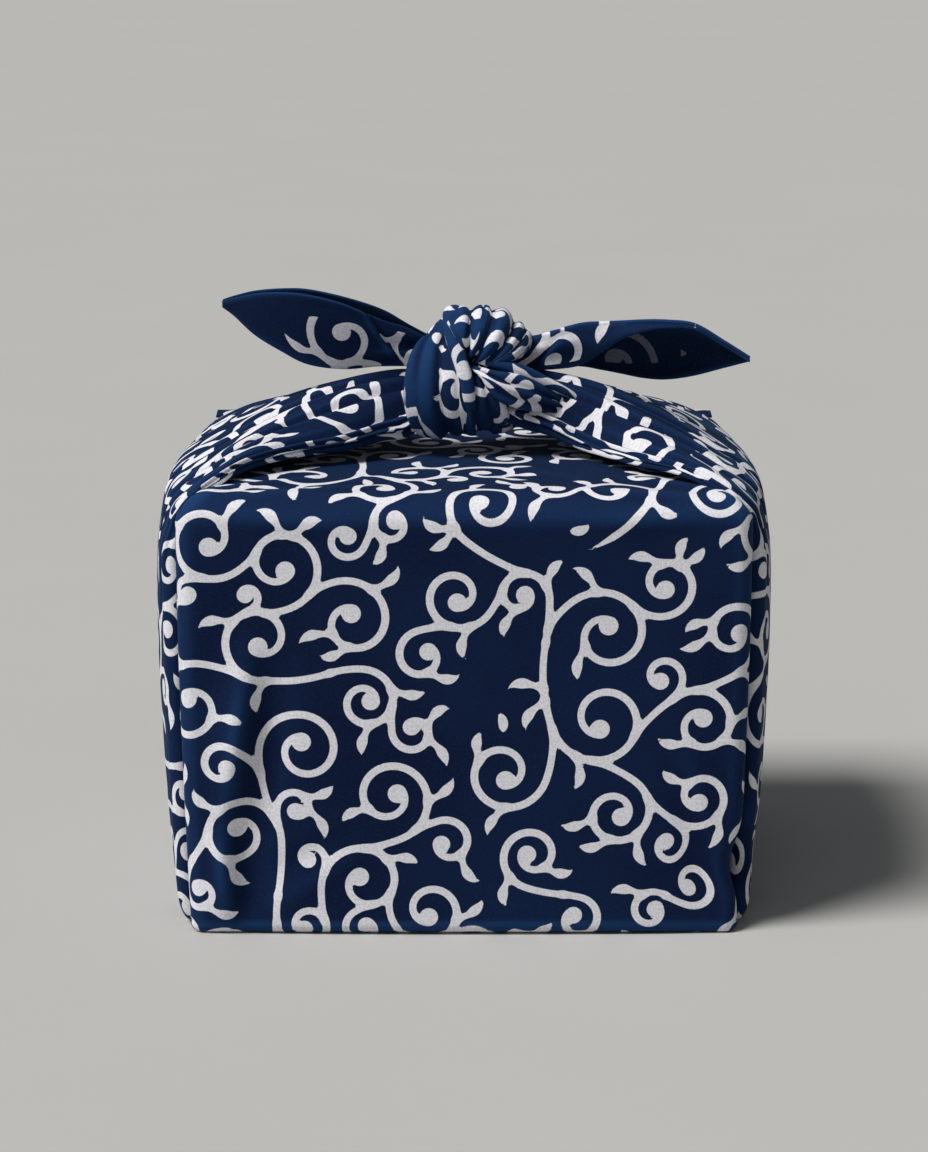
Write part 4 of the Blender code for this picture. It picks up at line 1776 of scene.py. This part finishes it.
    def build(self, tailor: Tailor) -> None:
        """Makes the knot's pieces and puts them on the parcel.

        Args:
            tailor: Who makes them.
        """
        self.build_core(tailor)
        loop = (
            Crease(0.10, 0.10, 0.0034, 0.02, 1.2, 1),
            Crease(-0.60, 0.16, 0.0010, -0.2, 0.50),
            Crease(0.66, 0.14, 0.0012, 0.35, 1.2),
        )
        fan = (
            Crease(-0.50, 0.11, 0.0040, -0.2, 1.2),
            Crease(0.02, 0.10, 0.0042, -0.2, 1.2),
            Crease(0.50, 0.11, 0.0040, -0.2, 1.2),
            Crease(-0.78, 0.08, 0.0018, 0.15, 0.9),
            Crease(0.26, 0.07, 0.0012, 0.2, 0.7),
        )
        folds = (
            Crease(-0.36, 0.14, 0.0036, -0.2, 1.2, 1),
            Crease(0.30, 0.14, 0.0032, -0.2, 1.2, 1),
        )
        small = (Crease(0.10, 0.25, 0.0016, 0.0, 1.0),)
        pointed = (
            Crease(0.30, 0.16, 0.0018, 0.10, 1.2, 1),
            Crease(-0.34, 0.16, 0.0022, 0.25, 1.2, -1),
        )
        turned = tuple(
            turn._replace(right=-turn.right, back=-turn.back, tilt=turn.tilt + 180.0) for turn in self.front
        )
        Band("loop_front", self.front, loop, (0.051, 0.263)).build(tailor, (0.056, 0.088))
        Band("loop_back", turned, loop, (0.21, 0.17)).build(tailor, (0.056, 0.088))
        Band("loop_top", self.fan, fan, (0.297, 0.224)).build(tailor, (0.070, 0.095))
        Band("loop_lower", self.lower, folds, (0.02, 0.25)).build(tailor, (0.050, 0.060))
        Band("loop_tuck", self.tuck, small, (0.08, 0.15)).build(tailor, (0.028, 0.034))
        Band("loop_strand", self.strand, (), (0.131, 0.233)).build(tailor, (0.013, 0.090))
        Band("strap_point", self.point, pointed, (0.061, 0.186)).build(tailor, (0.015, 0.050))
        Band("strap_strand", self.upper, (), (0.20, 0.05)).build(tailor, (0.010, 0.050))

    def build_core(self, tailor: Tailor) -> None:
        """Makes the bunched cloth in the middle of the knot, mostly hidden by its bands.

        Args:
            tailor: Who makes it.
        """
        angle = np.linspace(0.0, math.tau, 61)[None, :]
        tilt = np.linspace(-0.98, 0.98, 31)[:, None] * math.pi / 2
        lumps = 1 + 0.05 * np.sin(5 * angle + 3 * tilt) + 0.03 * np.sin(9 * angle - 2 * tilt)
        wide = np.cos(tilt) * lumps
        points = np.stack(
            [
                KNOT.x + self.core[0] * wide * np.cos(angle),
                KNOT.y + self.core[1] * wide * np.sin(angle),
                KNOT.z + self.core[2] * np.sin(tilt) * np.ones_like(angle),
            ],
            2,
        )
        cloth = np.stack([travelled_along(points, 1), travelled_along(points, 0)], 2)
        core = tailor.piece("knot_core", Lay(points, cloth, np.array(KNOT), ring=True))
        tailor.declare(core, (0.040, 0.070))


# ---------------------------------------------------------------- the free ends


@dataclass
class FreeEnd:
    """A corner of the cloth past the knot, folded in two along its own diagonal.

    lean is how far it leans forwards for each metre up. pleat is how far out the front leaf's
    slanting pleat crosses the hem and the fold, and how deep it is. The last plain_tip of the
    corner is inside its hems, so it has no print.
    """

    name: str
    side: int
    folds: tuple[Fold, ...]
    print_place: tuple[float, float]
    lean: float
    pleat: Triple
    spacing: float = 0.0008
    fold_radius: float = 0.0012
    thickness: float = 0.0009
    plain_tip: float = 0.0240
    leaf_reach: float = 0.036
    fold_steps: int = 7

    def lay(self) -> Lay:
        """Lays the two leaves, from the front hem round the fold to the back hem.

        Returns:
            The end's grid, a row for each place from the knot to the tip.
        """
        shares = evenly(self.folds, (0, 2), self.spacing)
        read = through(self.folds, shares)
        out, back, fold, front_hem, back_hem, gape = (read[:, index : index + 1] for index in range(6))
        up = np.sign(front_hem - fold)
        half_gape = np.maximum(gape / 2 - self.thickness, self.fold_radius)
        steps = int(self.leaf_reach / self.spacing)
        share = np.linspace(0.0, 1.0, steps + 1)[None, :]
        reach = self.fold_radius + (half_gape - self.fold_radius) * np.sin(share * math.pi / 2)
        turns = np.linspace(0.0, math.pi, self.fold_steps + 2)[1:-1][None, :]
        front_y, back_y = back - reach, back + reach
        foot = fold + up * self.fold_radius
        front_z = foot + (front_hem - foot) * share
        back_z = foot + (back_hem - foot) * share
        front_long, back_long = np.abs(front_hem - foot), np.abs(back_hem - foot)
        turn_y = back - self.fold_radius * np.cos(turns)
        turn_z = foot - up * self.fold_radius * np.sin(turns)
        y = np.concatenate([front_y[:, ::-1], turn_y, back_y], 1)
        z = np.concatenate([front_z[:, ::-1], turn_z, back_z], 1)
        at_turns = np.zeros((len(out), self.fold_steps))
        apart = np.concatenate([front_long * share[:, ::-1], at_turns, back_long * share], 1)
        leaf = np.ones(steps + 1)
        longest = np.where(np.arange(y.shape[1]) <= steps, front_long, back_long)
        sign = np.concatenate([-leaf, np.linspace(-1.0, 1.0, self.fold_steps), leaf])[None, :]
        across = sign * apart
        tip = self.folds[-1].out
        near_tip = tip - out
        hem = (1 - apart / longest) * np.maximum(near_tip, longest) * math.sqrt(0.5)
        hem = np.minimum(hem, np.maximum(near_tip - self.plain_tip + PLAIN_BORDER, 0.003))
        bunched = 1 - eased(near_tip / tip, 0.45, 0.85)
        y = y + self.gathers(across, tip - near_tip) * (1 - bunched)
        middle_z = (np.maximum(fold, np.maximum(front_hem, back_hem)) + np.minimum(fold, back_hem)) / 2
        y = y - self.lean * (z - middle_z) * eased(out, 0.020, 0.045)
        at_hem, at_fold, depth = self.pleat
        beyond = out - at_fold - (at_hem - at_fold) * apart / longest
        pushed = -depth * np.tanh(beyond / 0.0007) * np.exp(-np.abs(beyond) / 0.007)
        y = y + np.where(sign < 0, pushed, 0.0) * eased(apart, 0.001, 0.006)
        points = np.stack([np.broadcast_to(self.side * out, y.shape), y, HEIGHT + z], 2)
        hidden = np.where(sign < 0, 5.0 * depth * (1 - eased(beyond, -0.0008, 0.0008)), 0.0)
        cloth = np.stack([self.side * (TO_CORNER - near_tip - hidden), across], 2)
        half_up = HEIGHT + (front_z + back_z)[:, steps // 2, None] / 2
        inside = np.stack([self.side * out, back, half_up], 2)
        return Lay(points, cloth + np.array(self.print_place), inside, hem)

    def gathers(self, across: np.ndarray, out: np.ndarray) -> np.ndarray:
        """How far the leaves are thrown forwards or back by the gathers that leave the knot."""
        fanned = across / (0.35 + out / 0.060)
        return 0.0011 * np.sin(fanned / 0.0021 + 0.6) * eased(np.abs(across), 0.001, 0.006)

    def build(self, tailor: Tailor) -> None:
        """Makes the free end and puts it on the parcel."""
        cloth = tailor.piece(self.name, self.lay(), self.thickness)
        tailor.declare(cloth, (0.060, 0.110))


# ---------------------------------------------------------------- the studio


@dataclass
class Studio:
    """The floor, the lights and the camera."""

    camera_place: Triple = (0.0, -1.7681, 0.5263)
    camera_pitch: float = math.radians(12.5)
    lens: float = 126.5
    sensor: float = 36.0
    floor_reach: float = 60.0

    def build(self) -> None:
        """Sets the stage."""
        self.floor()
        self.sun("key", (-1.1, -0.66, 1.75), strength=3.7, softness=24.0, colour=(1.0, 0.995, 0.98))
        self.light("front", (-0.5, -2.3, 0.9), size=1.4, power=2.5, colour=(0.97, 0.985, 1.0))
        self.surroundings()
        self.camera()
        bpy.context.scene.view_settings.view_transform = "Standard"

    def floor(self) -> None:
        """A plain pale floor."""
        plane = bmesh.new()
        bmesh.ops.create_grid(plane, x_segments=1, y_segments=1, size=self.floor_reach)
        mesh = bpy.data.meshes.new("floor")
        plane.to_mesh(mesh)
        plane.free()
        mesh.materials.append(PalePaint().make())
        stand("floor", mesh)

    def light(self, name: str, place: Triple, size: float, power: float, colour: Triple) -> None:
        """Sets up a soft square light that faces the parcel.

        Args:
            name: The light's name.
            place: Where it stands.
            size: How wide it is.
            power: Its power in watts.
            colour: Its colour.
        """
        lamp = bpy.data.lights.new(name, "AREA")
        lamp.size, lamp.energy, lamp.color = size, power, colour
        thing = stand(name, lamp)
        thing.location = place
        aim = Vector((0.0, 0.0, HEIGHT * 0.7)) - Vector(place)
        thing.rotation_euler = aim.to_track_quat("-Z", "Y").to_euler()

    def sun(self, name: str, away: Triple, strength: float, softness: float, colour: Triple) -> None:
        """Sets up a broad light from far away.

        Args:
            name: The light's name.
            away: The direction that it comes from.
            strength: Its strength in watts for each square metre.
            softness: How many degrees across it is.
            colour: Its colour.
        """
        lamp = bpy.data.lights.new(name, "SUN")
        lamp.energy, lamp.angle, lamp.color = strength, math.radians(softness), colour
        thing = stand(name, lamp)
        thing.rotation_euler = (-Vector(away)).to_track_quat("-Z", "Y").to_euler()

    def surroundings(self) -> None:
        """A faint even light from all round."""
        world = bpy.data.worlds.new("studio")
        world.use_nodes = True
        ground = world.node_tree.nodes["Background"]
        ground.inputs["Color"].default_value = (0.92, 0.96, 1.0, 1.0)
        ground.inputs["Strength"].default_value = 0.13
        bpy.context.scene.world = world

    def camera(self) -> None:
        """A camera a little above the parcel, facing its front."""
        lens = bpy.data.cameras.new("camera")
        lens.lens, lens.sensor_height, lens.sensor_fit = self.lens, self.sensor, "VERTICAL"
        thing = stand("camera", lens)
        thing.location = self.camera_place
        thing.rotation_euler = (math.pi / 2 - self.camera_pitch, 0.0, 0.0)
        bpy.context.scene.camera = thing


# ---------------------------------------------------------------- the parcel

LEFT_CREASES = (
    Crease(-1.58, 0.0012, 0.0026, 0.52, 1.0, -1),
    Crease(-1.30, 0.0012, 0.0030, 0.46, 1.0, -1),
    Crease(-0.94, 0.0014, 0.0036, 0.40, 1.0, -1),
    Crease(-0.58, 0.0015, 0.0030, 0.42, 1.0, -1),
    Crease(-0.22, 0.0015, 0.0026, 0.46, 1.0, -1),
    Crease(0.12, 0.0015, 0.0024, 0.40, 1.0, 1),
    Crease(0.44, 0.0015, 0.0028, 0.42, 1.0, 1),
    Crease(0.74, 0.0015, 0.0030, 0.42, 1.0, 1),
    Crease(1.02, 0.0014, 0.0032, 0.42, 1.0, 1),
    Crease(1.40, 0.0012, 0.0028, 0.48, 1.0, 1),
    Crease(-0.76, 0.0020, 0.0014, 0.46, 0.84, -1),
    Crease(-0.40, 0.0020, 0.0012, 0.52, 0.90, -1),
    Crease(-0.05, 0.0022, 0.0010, 0.50, 0.88, -1),
    Crease(0.60, 0.0020, 0.0012, 0.48, 0.86, 1),
)
RIGHT_CREASES = (
    Crease(-1.62, 0.0012, 0.0024, 0.60, 1.0, -1),
    Crease(-1.28, 0.0012, 0.0028, 0.52, 1.0, -1),
    Crease(-0.90, 0.0014, 0.0036, 0.44, 1.0, -1),
    Crease(-0.50, 0.0015, 0.0032, 0.48, 1.0, -1),
    Crease(-0.16, 0.0015, 0.0026, 0.44, 1.0, -1),
    Crease(0.20, 0.0015, 0.0024, 0.42, 1.0, 1),
    Crease(0.52, 0.0015, 0.0028, 0.42, 1.0, 1),
    Crease(0.80, 0.0015, 0.0030, 0.42, 1.0, 1),
    Crease(1.06, 0.0014, 0.0032, 0.42, 1.0, 1),
    Crease(1.42, 0.0012, 0.0028, 0.48, 1.0, 1),
    Crease(-0.70, 0.0020, 0.0014, 0.50, 0.88, -1),
    Crease(-0.32, 0.0020, 0.0012, 0.54, 0.92, -1),
    Crease(0.04, 0.0022, 0.0010, 0.50, 0.86, 1),
    Crease(0.66, 0.0020, 0.0012, 0.48, 0.86, 1),
)
LEFT_SAGS = (
    Sag(0.0120, 0.0000, 0.0040),
    Sag(0.0260, 0.0020, 0.0070),
    Sag(0.0400, 0.0050, 0.0062),
    Sag(0.0570, 0.0090, 0.0068),
    Sag(0.0770, 0.0160, 0.0046),
    Sag(0.0965, 0.0160, 0.0014),
    Sag(0.1120, 0.0080, 0.0000),
    Sag(0.1200, 0.0020, 0.0000),
    Sag(0.1268, 0.0000, 0.0000),
)
RIGHT_SAGS = (
    Sag(0.0120, 0.0000, 0.0000),
    Sag(0.0260, 0.0020, 0.0012),
    Sag(0.0400, 0.0100, 0.0036),
    Sag(0.0570, 0.0170, 0.0082),
    Sag(0.0770, 0.0090, 0.0064),
    Sag(0.0965, 0.0040, 0.0018),
    Sag(0.1120, 0.0010, 0.0000),
    Sag(0.1200, 0.0000, 0.0000),
    Sag(0.1268, 0.0000, 0.0000),
)
LEFT_END = (
    Fold(0.0140, 0.0000, 0.0380, 0.0500, 0.0505, 0.0060),
    Fold(0.0259, -0.0015, 0.0385, 0.0561, 0.0575, 0.0085),
    Fold(0.0375, -0.0030, 0.0382, 0.0605, 0.0642, 0.0110),
    Fold(0.0530, -0.0040, 0.0368, 0.0679, 0.0693, 0.0130),
    Fold(0.0690, -0.0035, 0.0388, 0.0718, 0.0727, 0.0120),
    Fold(0.0810, -0.0015, 0.0446, 0.0722, 0.0727, 0.0100),
    Fold(0.0925, 0.0015, 0.0515, 0.0708, 0.0712, 0.0080),
    Fold(0.1015, 0.0045, 0.0597, 0.0681, 0.0685, 0.0062),
    Fold(0.1067, 0.0065, 0.0634, 0.0664, 0.0665, 0.0055),
)
RIGHT_END = (
    Fold(0.0160, 0.0000, 0.0485, 0.0352, 0.0350, 0.0070),
    Fold(0.0305, 0.0010, 0.0512, 0.0362, 0.0357, 0.0090),
    Fold(0.0503, 0.0025, 0.0568, 0.0380, 0.0361, 0.0120),
    Fold(0.0615, 0.0030, 0.0577, 0.0452, 0.0342, 0.0130),
    Fold(0.0705, 0.0030, 0.0582, 0.0512, 0.0324, 0.0130),
    Fold(0.0800, 0.0025, 0.0588, 0.0545, 0.0306, 0.0120),
    Fold(0.0900, 0.0015, 0.0588, 0.0561, 0.0303, 0.0100),
    Fold(0.1018, -0.0005, 0.0574, 0.0552, 0.0325, 0.0080),
    Fold(0.1150, -0.0035, 0.0498, 0.0477, 0.0370, 0.0065),
    Fold(0.1258, -0.0065, 0.0431, 0.0411, 0.0408, 0.0055),
)


def main() -> None:
    """Builds the parcel and the studio."""
    logging.basicConfig(level=logging.INFO, format="%(name)s: %(message)s")
    chart = Karakusa()
    log.info("print: %d strokes, %.0f%% covered", len(chart.strokes), 100 * (chart.chart > 0).mean())
    face = PrintedCotton("printed_cotton_face").make()
    # The reverse for the insides of the free ends and the hanging corner: its darker indigo is painted
    # shade, and its faint print is partly the reverse's own and partly painted shade.
    shaded_reverse = PrintedCotton(
        "printed_cotton_reverse", indigo=(0.0020, 0.0048, 0.0200), print_strength=0.14, sheen=0.05
    ).make()
    tailor = Tailor(chart, face, shaded_reverse)
    Wrapping().build(tailor)
    SideCloth("side_left", -1, LEFT_CREASES, (0.231, 0.145), LEFT_SAGS).build(tailor)
    SideCloth("side_right", 1, RIGHT_CREASES, (0.081, 0.168), RIGHT_SAGS, 0.011).build(tailor)
    Knot().build(tailor)
    FreeEnd("end_left", -1, LEFT_END, (0.020, 0.185), 0.30, (0.042, 0.027, 0.0016)).build(tailor)
    FreeEnd("end_right", 1, RIGHT_END, (0.164, 0.094), 0.34, (0.030, 0.044, 0.0008)).build(tailor)
    Studio().build()


if __name__ == "__main__":
    main()
